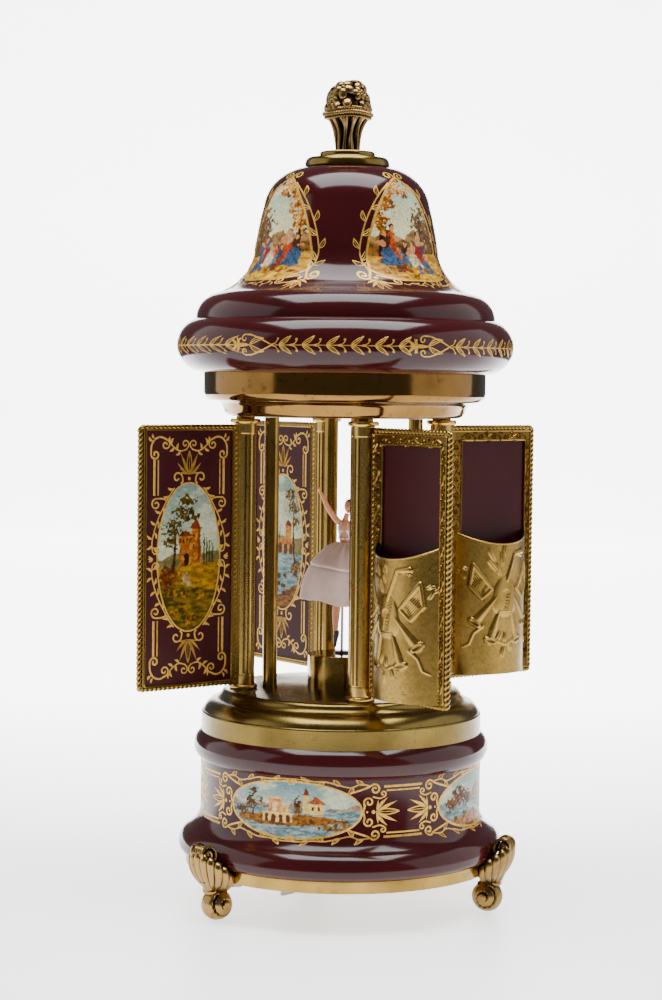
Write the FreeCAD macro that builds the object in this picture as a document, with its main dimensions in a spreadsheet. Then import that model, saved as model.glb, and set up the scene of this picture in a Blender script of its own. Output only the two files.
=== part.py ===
import FreeCAD, Part
import math
import os
import re
import Sketcher

# Carousel music box: a round lacquered base on three cast feet carries a cage of
# four rods, a lacquered dome and four doors that swing on fluted columns.
# Turning the bouquet on the dome opens and shuts all four doors through gears
# under the dome; a clockwork movement in the base turns the dancer.
# Millimetres, +Z up, origin on the floor under the middle of the base.

V = FreeCAD.Vector
Z_AXIS = V(0, 0, 1)
TO_Y_AXIS = FreeCAD.Rotation(V(1, 0, 0), -90)

SIZES = {
    # heights above the floor
    "tab_low": 15.9,
    "ring_low": 17.4,
    "ring_high": 23.0,
    "band_low": 77.7,
    "band_high": 86.8,
    "deck": 96.7,
    "door_low": 98.9,
    "door_high": 215.9,
    "ceiling": 219.4,
    "door_gear_low": 228.5,
    "dome_low": 238.8,
    "dome_crease": 262.9,
    "dome_high": 330.7,
    "seat_high": 338.0,
    "full_high": 370.0,
    # radii and walls of the turned case
    "ring_r": 70.0,
    "bulge_r": 73.2,
    "waist_r": 63.4,
    "band_r": 63.3,
    "deck_r": 52.0,
    "dish_r": 63.6,
    "rim_tube_r": 12.4,
    "case_wall": 1.8,
    "sheet_wall": 1.5,
    # cage and doors
    "column_ring": 45.0,
    "rod_ring": 33.0,
    "column_r": 4.95,
    "rod_r": 3.25,
    "pin_r": 2.0,
    "stud_r": 1.5,
    "run_gap": 0.05,
    "door_wide": 57.9,
    "frame_thick": 3.0,
    "panel_thick": 1.0,
    "door_open_turn": 27.0,
    "pocket_low": 101.0,
    "pocket_high": 167.0,
    "pocket_deep": 11.6,
    "pocket_wall": 0.9,
    "door_gear_module": 1.5,
    "finial_shaft_r": 2.5,
    # dancer
    "drum_r": 15.4,
    "drum_high": 112.0,
    "spindle_r": 0.6,
    "dancer_turn": -10.6,
    # feet and fasteners
    "foot_ring": 70.2,
    "foot_ball_r": 7.0,
    "foot_sink": 0.6,
    "foot_screw_ring": 60.0,
    "bolt_ring": 54.0,
    # clockwork
    "bed_low": 22.0,
    "bed_high": 25.0,
    "barrel_x": -20.0,
    "barrel_r": 13.0,
    "barrel_low": 29.0,
    "barrel_high": 40.0,
    "train_module": 0.5,
    "cylinder_z": 43.5,
    "cylinder_r": 6.5,
    "cylinder_low_y": 15.4,
    "cylinder_high_y": 36.8,
    "second_x": -6.0,
    "fly_z": 57.5,
}

SUN_TEETH = 44
DOOR_PINION_TEETH = 16
GREAT_TEETH = 60
DANCER_TEETH = 20
CROWN_TEETH = 48
CYLINDER_PINION_TEETH = 12
TRAIN_TEETH = 48
TRAIN_PINION_TEETH = 8
COLUMN_ANGLES = (270, 180, 90, 0)
FOOT_ANGLES = (90, 210, 330)

doc = FreeCAD.newDocument("carousel_music_box")
sheet = doc.addObject("Spreadsheet::Sheet", "Sizes")
for row, (alias, value) in enumerate(SIZES.items(), start=1):
    sheet.set(f"A{row}", alias)
    sheet.set(f"B{row}", str(value))
    sheet.setAlias(f"B{row}", alias)
doc.recompute()

nodes = []


# ---------------------------------------------------------------- tools

def formula(text):
    """Expression text whose words are aliases of the sheet, or a plain number."""
    if not isinstance(text, str):
        return f"{text:.6f}"
    return re.sub(r"[A-Za-z_]\w*", r"Sizes.\g<0>", text)


def size(text):
    """Value of such an expression."""
    return float(sheet.evalExpression(formula(text)))


def keep(piece, label):
    """Name a finished sub-part and list it for export."""
    piece.Label = label
    nodes.append(piece)
    return piece


def arc_between(start, end, radius):
    """Short arc from start to end; a positive radius turns left, a negative one right."""
    chord = end - start
    left = V(-chord.y, chord.x, 0).normalize()
    rise = math.sqrt(radius ** 2 - (chord.Length / 2) ** 2)
    centre = (start + end) / 2 + left * math.copysign(rise, radius)
    first, last = (start, end) if radius > 0 else (end, start)
    from_angle = math.atan2(first.y - centre.y, first.x - centre.x)
    to_angle = math.atan2(last.y - centre.y, last.x - centre.x)
    if to_angle < from_angle:
        to_angle += 2 * math.pi
    return Part.ArcOfCircle(Part.Circle(centre, Z_AXIS, abs(radius)), from_angle, to_angle)


def draw(body, name, plane_role, outline, offset="0"):
    """Closed, fully dimensioned outline on one of the body's own planes.

    Each corner is (across, up) or (across, up, radius), where the radius bends
    the edge that arrives at that corner.
    """
    sketch = body.newObject("Sketcher::SketchObject", name)
    plane = next(f for f in body.Origin.OriginFeatures if f.Role == plane_role)
    sketch.AttachmentSupport = [(plane, "")]
    sketch.MapMode = "FlatFace"
    sketch.setExpression("AttachmentOffset.Base.z", formula(offset))
    corners = [V(size(corner[0]), size(corner[1]), 0) for corner in outline]
    arrive = []
    leave = []
    for i, corner in enumerate(outline):
        radius = size(corner[2]) if len(corner) > 2 else 0
        if radius:
            sketch.addGeometry(arc_between(corners[i - 1], corners[i], radius), False)
        else:
            sketch.addGeometry(Part.LineSegment(corners[i - 1], corners[i]), False)
        leave.append(2 if radius < 0 else 1)
        arrive.append(1 if radius < 0 else 2)
    for i, corner in enumerate(outline):
        following = (i + 1) % len(outline)
        sketch.addConstraint(Sketcher.Constraint("Coincident", i, arrive[i], following, leave[following]))
        for kind, place, text, axis in (("DistanceX", corners[i].x, corner[0], -2),
                                        ("DistanceY", corners[i].y, corner[1], -1)):
            if abs(place) < 1e-6:
                sketch.addConstraint(Sketcher.Constraint("PointOnObject", i, arrive[i], axis))
            else:
                index = sketch.addConstraint(Sketcher.Constraint(kind, -1, 1, i, arrive[i], place))
                sketch.setExpression(f"Constraints[{index}]", formula(text))
        if len(corner) > 2:
            index = sketch.addConstraint(Sketcher.Constraint("Radius", i, abs(size(corner[2]))))
            sketch.setExpression(f"Constraints[{index}]", f"abs({formula(corner[2])})")
    return sketch


def lathe(name, outline):
    """Body turned about Z from a half outline (radius, height)."""
    body = doc.addObject("PartDesign::Body", name)
    sketch = draw(body, name + "_outline", "XZ_Plane", outline)
    turn = body.newObject("PartDesign::Revolution", name + "_turn")
    turn.Profile = (sketch, [""])
    turn.ReferenceAxis = (sketch, ["V_Axis"])
    turn.Angle = 360
    return body


def prism(name, outline, low, high, plane_role="XY_Plane"):
    """Body padded from an outline between two levels of its plane's normal."""
    body = doc.addObject("PartDesign::Body", name)
    sketch = draw(body, name + "_outline", plane_role, outline, low)
    pad = body.newObject("PartDesign::Pad", name + "_pad")
    pad.Profile = (sketch, [""])
    pad.setExpression("Length", formula(f"({high}) - ({low})"))
    return body


def bar(name, radius, low, high, x="0", y="0"):
    """Round bar standing between two heights."""
    cylinder = doc.addObject("Part::Cylinder", name)
    cylinder.setExpression("Radius", formula(radius))
    cylinder.setExpression("Height", formula(f"({high}) - ({low})"))
    cylinder.setExpression("Placement.Base.x", formula(x))
    cylinder.setExpression("Placement.Base.y", formula(y))
    cylinder.setExpression("Placement.Base.z", formula(low))
    return cylinder


def block(name, low, high):
    """Box between two corners."""
    box = doc.addObject("Part::Box", name)
    for side, axis, start, end in zip(("Length", "Width", "Height"), "xyz", low, high):
        box.setExpression(side, formula(f"({end}) - ({start})"))
        box.setExpression(f"Placement.Base.{axis}", formula(start))
    return box


def fuse(name, pieces):
    joined = doc.addObject("Part::MultiFuse", name)
    joined.Shapes = pieces
    return joined


def cut(name, base, tools):
    result = doc.addObject("Part::Cut", name)
    result.Base = base
    result.Tool = tools[0] if len(tools) == 1 else fuse(name + "_tools", tools)
    return result


def feature(name, shape):
    """Sub-part whose outline comes from a formula."""
    piece = doc.addObject("Part::Feature", name)
    piece.Shape = shape
    return piece


def around(ring, angle):
    """Point on a ring about the Z axis."""
    radius = size(ring)
    return V(radius * math.cos(math.radians(angle)), radius * math.sin(math.radians(angle)), 0)


def place(piece, point, rotation=FreeCAD.Rotation()):
    piece.Placement = FreeCAD.Placement(point, rotation)
    return piece


def turned(angle):
    return FreeCAD.Rotation(Z_AXIS, angle)


def involute(angle):
    return math.tan(angle) - angle


def gear_shape(teeth, module, thick, bore_r, turn=0.0, stop_short=0.8):
    """Spur wheel on Z with involute flanks; a tooth points along +X before the turn.

    The teeth fill 40 % of the pitch, so meshing wheels run with clear backlash.
    """
    pitch_r = teeth * module / 2
    base_r = pitch_r * math.cos(math.radians(20))
    radii = (pitch_r - 1.1 * module, pitch_r, pitch_r + stop_short * module)
    at_pitch = 0.8 * math.pi / (2 * teeth)
    half_angles = []
    for radius in radii:
        pressure = math.acos(min(1.0, base_r / radius))
        half_angles.append(at_pitch + involute(math.radians(20)) - involute(pressure))
    flank = list(zip(radii, half_angles))
    points = []
    for tooth in range(teeth):
        centre = 2 * math.pi * tooth / teeth + math.radians(turn)
        points += [(radius, centre - half) for radius, half in flank]
        points += [(radius, centre + half) for radius, half in reversed(flank)]
    corners = [V(radius * math.cos(angle), radius * math.sin(angle), 0) for radius, angle in points]
    wheel = Part.Face(Part.makePolygon(corners + corners[:1])).extrude(V(0, 0, thick))
    if bore_r:
        wheel = wheel.cut(Part.makeCylinder(bore_r, thick))
    return wheel


def at(shape, x, y, z):
    shape = shape.copy()
    shape.translate(V(x, y, z))
    return shape


def limb(points):
    """Rounded, tapering limb through (x, y, z, radius) stations."""
    pieces = [Part.makeSphere(radius, V(x, y, z)) for x, y, z, radius in points]
    for (x1, y1, z1, r1), (x2, y2, z2, r2) in zip(points, points[1:]):
        start = V(x1, y1, z1)
        run = V(x2, y2, z2) - start
        if abs(r1 - r2) < 0.01:
            pieces.append(Part.makeCylinder(r1, run.Length, start, run))
        else:
            pieces.append(Part.makeCone(r1, r2, run.Length, start, run))
    return pieces[0].multiFuse(pieces[1:]).removeSplitter()


# ---------------------------------------------------------------- base

def base_body():
    """Lacquered drum: bulge at the foot, straight waist, bead under the brass band."""
    keep(lathe("base_body", [
        ("ring_r - 1.5", "ring_high"),
        ("ring_r + 0.6", "ring_high"),
        ("bulge_r", "ring_high + 3", 3.4),
        ("ring_r - 0.8", "ring_high + 11", 8.5),
        ("waist_r", "ring_high + 18", -12),
        ("waist_r", "band_low - 12.7"),
        ("waist_r", "band_low", 7.76),
        ("waist_r - 3", "band_low"),
        ("waist_r - 3", "ring_high + 17"),
        ("ring_r - 3", "ring_high + 8"),
        ("ring_r - 1.5", "ring_high + 4"),
    ]), "base_body")


def bottom_plate():
    """Brass tray that closes the base, with the key hole and the screw holes."""
    tray = lathe("bottom_tray", [
        ("0", "ring_low"),
        ("ring_r", "ring_low"),
        ("ring_r", "ring_high"),
        ("ring_r - 1.5", "ring_high"),
        ("ring_r - 1.5", "ring_low + 2"),
        ("0", "ring_low + 2"),
    ])
    holes = [bar("key_hole", "3.2", "ring_low - 1", "ring_low + 3", "barrel_x")]
    for angle in FOOT_ANGLES:
        for ring in ("foot_screw_ring", "bolt_ring"):
            turn = angle if ring == "foot_screw_ring" else angle - 60
            spot = around(ring, turn)
            holes.append(bar(f"{ring}_hole_{angle}", "stud_r", "ring_low - 1", "ring_low + 3",
                             spot.x, spot.y))
    keep(cut("bottom_plate", tray, holes), "bottom_plate")


def foot(number, angle):
    """Cast foot: ball on a flat pad, shell scroll against the bulge, tab under the tray."""
    name = f"foot_{number}"
    ball = doc.addObject("Part::Sphere", name + "_ball")
    ball.setExpression("Radius", formula("foot_ball_r"))
    ball.setExpression("Placement.Base.z", formula("foot_ball_r - foot_sink"))
    neck = bar(name + "_neck", "4.4", "foot_ball_r", "ring_low + 6", "3.6")
    shell = doc.addObject("Part::Ellipsoid", name + "_shell")
    shell.Radius1 = 9.4
    shell.Radius2 = 8.0
    shell.Radius3 = 9.2
    shell.Angle1 = -90
    shell.setExpression("Placement.Base.x", formula("bulge_r - foot_ring + 2.2"))
    shell.setExpression("Placement.Base.z", formula("ring_high + 2.1"))
    tab = block(name + "_tab", ("foot_screw_ring - foot_ring - 5", "-5", "tab_low"),
                ("2", "5", "ring_low"))
    solid = fuse(name + "_cast", [ball, neck, shell, tab])
    trims = [
        block(name + "_floor", ("-12", "-12", "-3"), ("12", "12", "0")),
        bar(name + "_seat", "ring_r", "ring_low", "ring_high", "-foot_ring"),
        bar(name + "_hug", "bulge_r + 0.1", "ring_high", "ring_high + 20", "-foot_ring"),
        bar(name + "_hole", "stud_r", "tab_low - 1", "ring_low + 1", "foot_screw_ring - foot_ring"),
    ]
    piece = cut(name, solid, trims)
    keep(place(piece, around("foot_ring", angle), turned(angle)), name)


def base_screws():
    """Three foot screws and three long bolts that clamp the base together."""
    screws = []
    for number, angle in enumerate(FOOT_ANGLES, start=1):
        foot_spot = around("foot_screw_ring", angle)
        bolt_spot = around("bolt_ring", angle - 60)
        for kind, spot, head_top, tip in (("foot", foot_spot, "tab_low", "ring_low + 3.4"),
                                          ("bolt", bolt_spot, "ring_low", "deck - 4")):
            head = bar(f"{kind}_head_{number}", "3", f"{head_top} - 2.4", head_top)
            shank = bar(f"{kind}_shank_{number}", "stud_r", head_top, tip)
            screws.append(place(fuse(f"{kind}_screw_{number}", [head, shank]), spot))
    gathered = doc.addObject("Part::Compound", "base_screws")
    gathered.Links = screws
    keep(gathered, "base_screws")


def base_top_plate():
    """Spun brass cap with the deck, the satin band and three bolt bosses inside."""
    cap = lathe("deck_cap", [
        ("band_r - sheet_wall", "band_low"),
        ("band_r", "band_low"),
        ("band_r", "band_high - 1"),
        ("band_r - 0.7", "band_high", 0.9),
        ("deck_r + 4.8", "band_high + 5.4", 9),
        ("deck_r + 2.2", "deck - 1.9", -5),
        ("deck_r", "deck", 3.2),
        ("0", "deck"),
        ("0", "deck - sheet_wall"),
        ("deck_r - 1", "deck - sheet_wall"),
        ("deck_r + 0.9", "deck - 2.8", -3),
        ("deck_r + 3.8", "band_high + 4", 5),
        ("band_r - 2.3", "band_high", -9),
        ("band_r - sheet_wall", "band_high - 1.8"),
    ])
    bosses = [cap]
    bores = []
    for angle in FOOT_ANGLES:
        spot = around("bolt_ring", angle - 60)
        bosses.append(bar(f"boss_{angle}", "3.4", "deck - 12", "band_high + 4.5", spot.x, spot.y))
        bores.append(bar(f"boss_bore_{angle}", "stud_r", "deck - 13", "deck - 4", spot.x, spot.y))
    for angle in COLUMN_ANGLES:
        for label, ring, radius in (("pivot", "column_ring", "pin_r + run_gap"),
                                    ("stud", "rod_ring", "stud_r")):
            spot = around(ring, angle)
            bores.append(bar(f"deck_{label}_hole_{angle}", radius, "deck - 6", "deck + 1",
                             spot.x, spot.y))
    bores.append(bar("deck_spindle_hole", "spindle_r + 0.4", "deck - 6", "deck + 1"))
    keep(cut("base_top_plate", fuse("deck_with_bosses", bosses), bores), "base_top_plate")


def dancer_drum():
    """Upturned brass cup under the dancer and the dark bush in its top."""
    keep(lathe("dancer_drum", [
        ("drum_r - 0.8", "deck"),
        ("drum_r", "deck"),
        ("drum_r", "drum_high - 0.6"),
        ("drum_r - 0.6", "drum_high", 0.6),
        ("1.8", "drum_high"),
        ("1.8", "drum_high - 0.8"),
        ("drum_r - 0.8", "drum_high - 0.8"),
    ]), "dancer_drum")
    keep(lathe("spindle_bush", [
        ("spindle_r + run_gap", "drum_high - 1.6"),
        ("1.8", "drum_high - 1.6"),
        ("1.8", "drum_high"),
        ("3", "drum_high"),
        ("3", "drum_high + 1"),
        ("spindle_r + run_gap", "drum_high + 1"),
    ]), "spindle_bush")


# ---------------------------------------------------------------- cage and dome

def cage_rod(number, angle):
    """Plain brass rod with a stud at each end."""
    name = f"rod_{number}"
    piece = lathe(name, [
        ("0", "deck - 5"),
        ("stud_r", "deck - 5"),
        ("stud_r", "deck"),
        ("rod_r", "deck"),
        ("rod_r", "ceiling"),
        ("stud_r", "ceiling"),
        ("stud_r", "ceiling + 5"),
        ("0", "ceiling + 5"),
    ])
    keep(place(piece, around("rod_ring", angle)), name)


def rod_nuts():
    """Hexagon nuts above and below, eight in all."""
    across = 3.2
    outline = []
    for corner in range(6):
        outline.append((across * math.cos(corner * math.pi / 3), across * math.sin(corner * math.pi / 3)))
    nuts = []
    for angle in COLUMN_ANGLES:
        for level, low, high in (("low", "deck - sheet_wall - 2.4", "deck - sheet_wall"),
                                 ("high", "ceiling + sheet_wall", "ceiling + sheet_wall + 2.4")):
            name = f"nut_{level}_{angle}"
            nut = cut(name, prism(name + "_hex", outline, low, high),
                      [bar(name + "_bore", "stud_r", low, high)])
            nuts.append(place(nut, around("rod_ring", angle)))
    gathered = doc.addObject("Part::Compound", "rod_nuts")
    gathered.Links = nuts
    keep(gathered, "rod_nuts")


def top_plate():
    """Bronze-toned dish that caps the cage and holds the door gears."""
    dish = lathe("top_dish", [
        ("0", "ceiling"),
        ("dish_r - 12.1", "ceiling"),
        ("dish_r - 9.3", "ceiling + 2.2", 2.9),
        ("dish_r - 8.4", "ceiling + 4.6"),
        ("dish_r - 5.6", "ceiling + 6.6", -3),
        ("dish_r - 2.4", "ceiling + 7.1"),
        ("dish_r", "ceiling + 11", 4.6),
        ("dish_r", "dome_low"),
        ("dish_r - 1.6", "dome_low"),
        ("dish_r - 1.6", "ceiling + 11.6"),
        ("dish_r - 3.6", "ceiling + 8.7", -4),
        ("dish_r - 8", "ceiling + 7"),
        ("dish_r - 10.2", "ceiling + 3.6"),
        ("dish_r - 12.4", "ceiling + sheet_wall"),
        ("0", "ceiling + sheet_wall"),
    ])
    holes = [bar("shaft_bush_hole", "4", "ceiling - 1", "ceiling + 3")]
    for angle in COLUMN_ANGLES:
        for label, ring, radius in (("pivot", "column_ring", "pin_r + run_gap"),
                                    ("stud", "rod_ring", "stud_r")):
            spot = around(ring, angle)
            holes.append(bar(f"ceiling_{label}_hole_{angle}", radius, "ceiling - 1", "ceiling + 4",
                             spot.x, spot.y))
    keep(cut("top_plate", dish, holes), "top_plate")


def dome():
    """Lacquered bell with a round rim and a spigot that drops into the dish."""
    spigot_r = "dish_r - 1.7"
    keep(lathe("dome", [
        ("dish_r - 3.2", "dome_low - 6"),
        (spigot_r, "dome_low - 6"),
        (spigot_r, "dome_low"),
        ("dish_r", "dome_low"),
        ("dish_r + 3.7", "dome_crease", "rim_tube_r"),
        ("dish_r - 6.1", "dome_crease + 11.7", 12),
        ("dish_r - 22.1", "dome_crease + 28.6", -24),
        ("dish_r - 26.4", "dome_high - 16.7", 150),
        ("19", "dome_high", 20),
        ("4", "dome_high"),
        ("4", "dome_high - case_wall"),
        ("18.4", "dome_high - case_wall"),
        ("dish_r - 28.2", "dome_high - 17.2", -18.2),
        ("dish_r - 23.9", "dome_crease + 27.8", -150),
        ("dish_r - 6.9", "dome_crease + 9.9", 25.8),
        ("dish_r + 2.2", "dome_crease - 1.2", -10.2),
        ("dish_r", "dome_low + case_wall", "1.4 - rim_tube_r"),
        ("dish_r - 3.2", "dome_low + case_wall"),
    ]), "dome")


def finial_seat():
    """Stepped brass seat clamped through the dome by a ring nut."""
    bore = "finial_shaft_r + run_gap"
    keep(lathe("finial_seat", [
        (bore, "dome_high - 8"),
        ("4", "dome_high - 8"),
        ("4", "dome_high"),
        ("18.1", "dome_high"),
        ("18.9", "dome_high + 1.2", 1.4),
        ("17.6", "dome_high + 4.5", 3.4),
        ("13.2", "dome_high + 4.7"),
        ("12.3", "dome_high + 5.6", -1),
        ("11.9", "seat_high", 1.6),
        (bore, "seat_high"),
    ]), "finial_seat")
    keep(lathe("seat_nut", [
        ("4", "dome_high - case_wall - 3"),
        ("8", "dome_high - case_wall - 3"),
        ("8", "dome_high - case_wall"),
        ("4", "dome_high - case_wall"),
    ]), "seat_nut")
    keep(lathe("shaft_bush", [
        (bore, "ceiling"),
        ("4", "ceiling"),
        ("4", "ceiling + sheet_wall"),
        ("6", "ceiling + sheet_wall"),
        ("6", "ceiling + sheet_wall + 1.5"),
        (bore, "ceiling + sheet_wall + 1.5"),
    ]), "shaft_bush")


def bouquet():
    """Cast basket of flowers, the knob that works the doors, on its long shaft."""
    basket = lathe("bouquet_cast", [
        ("0", "seat_high + 0.2"),
        ("5.6", "seat_high + 0.2"),
        ("8", "full_high - 19", -40),
        ("11.7", "full_high - 16.4", -5),
        ("11.7", "full_high - 12.2", 3.2),
        ("10.4", "full_high - 11.4"),
        ("9.6", "full_high - 5", 9),
        ("4.6", "full_high", 7),
        ("0", "full_high"),
    ])
    bore = bar("bouquet_bore", "finial_shaft_r", "seat_high - 1", "seat_high + 9")
    keep(cut("finial_bouquet", basket, [bore]), "finial_bouquet")
    keep(bar("finial_shaft", "finial_shaft_r", "ceiling + 0.4", "seat_high + 9"), "finial_shaft")
    sun = gear_shape(SUN_TEETH, size("door_gear_module"), 3, size("finial_shaft_r"))
    keep(feature("sun_gear", at(sun, 0, 0, size("door_gear_low"))), "sun_gear")


# ---------------------------------------------------------------- doors

def column(name):
    """Fluted hinge post with turned flanges and a pivot pin at each end."""
    post = lathe(name + "_turned", [
        ("0", "deck - 3.7"),
        ("pin_r", "deck - 3.7"),
        ("pin_r", "deck + 0.1"),
        ("6.1", "deck + 0.1"),
        ("6.1", "door_low - 0.3", 1.3),
        ("column_r + 0.1", "door_low"),
        ("column_r + 0.1", "door_low + 4"),
        ("column_r", "door_low + 4.4"),
        ("column_r", "door_high - 4.4"),
        ("column_r + 0.1", "door_high - 4"),
        ("column_r + 0.1", "door_high"),
        ("6.4", "door_high + 0.3"),
        ("6.4", "door_high + 2.3", 1.4),
        ("4.2", "door_high + 2.3"),
        ("4.2", "ceiling - 0.1"),
        ("pin_r", "ceiling - 0.1"),
        ("pin_r", "door_gear_low + 3.6"),
        ("0", "door_gear_low + 3.6"),
    ])
    flutes = []
    flute_count = 16
    flute_r = 0.62
    shaft_low = size("door_low + 5")
    shaft_high = size("door_high - 5")
    for flute in range(flute_count):
        angle = 360 * (flute + 0.5) / flute_count
        if math.cos(math.radians(angle)) > 0.8:
            continue
        spot = around("column_r + 0.25", angle) + V(0, 0, shaft_low)
        flutes.append(Part.makeCylinder(flute_r, shaft_high - shaft_low, spot))
    cutter = feature(name + "_flutes", Part.makeCompound(flutes))
    return cut(name, post, [cutter])


def door_frame(name):
    """Cast brass frame: a rebate in front for the panel, a smaller window behind."""
    slab = block(name + "_slab", ("2.5", "0", "door_low"), ("door_wide", "frame_thick", "door_high"))
    cutters = [
        block(name + "_rebate", ("8.9", "0.4 * frame_thick", "door_low + 2.5"),
              ("door_wide - 3.7", "frame_thick + 1", "door_high - 2.5")),
        block(name + "_window", ("column_r + 8.3", "-1", "door_low + 8"),
              ("door_wide - 6.5", "frame_thick", "door_high - 7.5")),
        bar(name + "_hug", "column_r + 0.1", "door_low", "door_high"),
    ]
    return cut(name, slab, cutters)


def door_panel(name):
    """Painted panel that fills the rebate."""
    back = "0.4 * frame_thick"
    front = "0.4 * frame_thick + panel_thick"
    outline = [("8.9", back), ("door_wide - 3.7", back), ("door_wide - 3.7", front), ("8.9", front)]
    return prism(name, outline, "door_low + 2.5", "door_high - 2.5")


def pocket_outline(inset):
    """Half-round plan of the pocket, drawn in by the given wall."""
    hinge_side = 9.0 + inset
    latch_side = size("door_wide") - 4.9 - inset
    half = (latch_side - hinge_side) / 2
    deep = size("pocket_deep") - inset
    radius = (half ** 2 + deep ** 2) / (2 * deep)
    return [(hinge_side, 0), (hinge_side + half, -deep, radius), (latch_side, 0, radius)]


def door_pocket(name):
    """Embossed half-round cigarette pocket; its rim dips toward the middle."""
    shell = prism(name + "_outside", pocket_outline(0), "pocket_low", "pocket_high")
    hollow = prism(name + "_inside", pocket_outline(size("pocket_wall")),
                   "pocket_low + pocket_wall", "pocket_high + 1")
    dip = prism(name + "_dip", [
        ("0", "pocket_high"),
        ("-pocket_deep - 1", "pocket_high - 5.9"),
        ("-pocket_deep - 1", "pocket_high + 2"),
        ("0", "pocket_high + 2"),
    ], "0", "door_wide", "YZ_Plane")
    return cut(name, shell, [hollow, dip])


def door(number, column_angle):
    """One door at rest: column, frame, panel and pocket stand wide open together."""
    spot = around("column_ring", column_angle)
    heading = turned(column_angle + size("door_open_turn"))
    for kind, make in (("column", column), ("frame", door_frame),
                       ("panel", door_panel), ("pocket", door_pocket)):
        name = f"door_{number}_{kind}"
        keep(place(make(name), spot, heading), name)
    pinion = gear_shape(DOOR_PINION_TEETH, size("door_gear_module"), 3, size("pin_r"),
                        column_angle + 180.0 / DOOR_PINION_TEETH)
    name = f"door_{number}_pinion"
    keep(feature(name, at(pinion, spot.x, spot.y, size("door_gear_low"))), name)


# ---------------------------------------------------------------- dancer

def dancer():
    """Plastic ballerina in a cloth skirt on a thin spindle driven from below."""
    turn = turned(size("dancer_turn"))
    spindle_reach = 46.0
    spindle = bar("dancer_spindle", "spindle_r", "bed_high + 0.2", f"drum_high + {spindle_reach}")
    keep(spindle, "dancer_spindle")
    wheel = gear_shape(DANCER_TEETH, size("train_module"), 2, size("spindle_r"), 180.0 / DANCER_TEETH)
    keep(feature("dancer_wheel", at(wheel, 0, 0, size("barrel_low - 2"))), "dancer_wheel")
    toe = size("drum_high + 2.7")
    leg = limb([(-3.0, 0, toe + 0.3, 0.6), (-2.5, 0, toe + 6, 1.1), (-2.6, 0, toe + 17, 1.9),
                (-1.6, 0, toe + 30, 2.1), (0.2, 0, toe + 43, 2.6)])
    raised_leg = limb([(1.2, 1.5, toe + 43, 2.4), (4.6, 6.5, toe + 31, 1.9), (1.6, 11.5, toe + 27, 1.2),
                       (0.2, 14.5, toe + 26, 0.7)])
    torso = limb([(1.0, 0, toe + 44, 3.0), (1.6, 0, toe + 48.5, 2.3), (2.2, 0, toe + 54, 3.0),
                  (2.6, 0, toe + 57.5, 1.6), (3.6, 0, toe + 61, 1.3), (4.3, 0, toe + 64.0, 2.9)])
    raised_arm = limb([(0.2, 0, toe + 56.6, 1.5), (-5.2, -1.0, toe + 63.6, 1.25), (-9.4, -1.4, toe + 71.5, 0.7),
                       (-10.0, -1.4, toe + 73.0, 0.5)])
    side_arm = limb([(4.6, 0, toe + 56.4, 1.5), (10.2, -1.2, toe + 53.0, 1.15), (14.6, -3.0, toe + 57.5, 0.7),
                     (15.6, -3.2, toe + 58.6, 0.5)])
    figure = leg.multiFuse([raised_leg, torso, raised_arm, side_arm])
    spindle_hole = Part.makeCylinder(size("spindle_r"), spindle_reach, V(0, 0, size("drum_high")))
    figure = figure.cut(spindle_hole)
    keep(place(feature("dancer_figure", figure), V(0, 0, 0), turn), "dancer_figure")


def dancer_skirt():
    """Full satin skirt, a bell that hangs a little lower on one side."""
    skirt = lathe("dancer_skirt", [
        ("16.4", "-26"),
        ("17.8", "-26"),
        ("16.2", "-12", 60),
        ("9.6", "-3.2", 12),
        ("4.3", "0"),
        ("3.4", "0"),
        ("3.4", "-1.4"),
        ("9.0", "-4.4"),
        ("15.0", "-12.6", -11),
    ])
    lean = FreeCAD.Rotation(V(0, 1, 0), 8)
    turn = turned(size("dancer_turn"))
    waist = turn.multVec(V(2.0, 0, 0)) + V(0, 0, size("drum_high + 49.5"))
    keep(place(skirt, waist, turn.multiply(lean)), "dancer_skirt")


# ---------------------------------------------------------------- clockwork

def bedplate():
    """Cast bed of the movement on four short legs."""
    bed = block("bed_slab", ("barrel_x - 18", "-20", "bed_low"), ("12", "50", "bed_high"))
    legs = []
    for number, (x, y) in enumerate((("barrel_x - 14", "-16"), ("8", "-16"),
                                     ("barrel_x - 14", "46"), ("8", "46"))):
        legs.append(bar(f"bed_leg_{number}", "3", "ring_low + 2", "bed_low", x, y))
    hole = bar("bed_arbor_hole", "1.5 + run_gap", "bed_low - 1", "bed_high + 1", "barrel_x")
    keep(cut("bedplate", fuse("bed_cast", [bed] + legs), [hole]), "bedplate")


def pivot_bore(name, x, y, z):
    """Bore for an arbor of the train, 6 mm along +Y from a point."""
    bore = place(bar(name, "1 + run_gap", "0", "6"), V(0, 0, 0), TO_Y_AXIS)
    for axis, text in zip("xyz", (x, y, z)):
        bore.setExpression(f"Placement.Base.{axis}", formula(text))
    return bore


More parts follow.
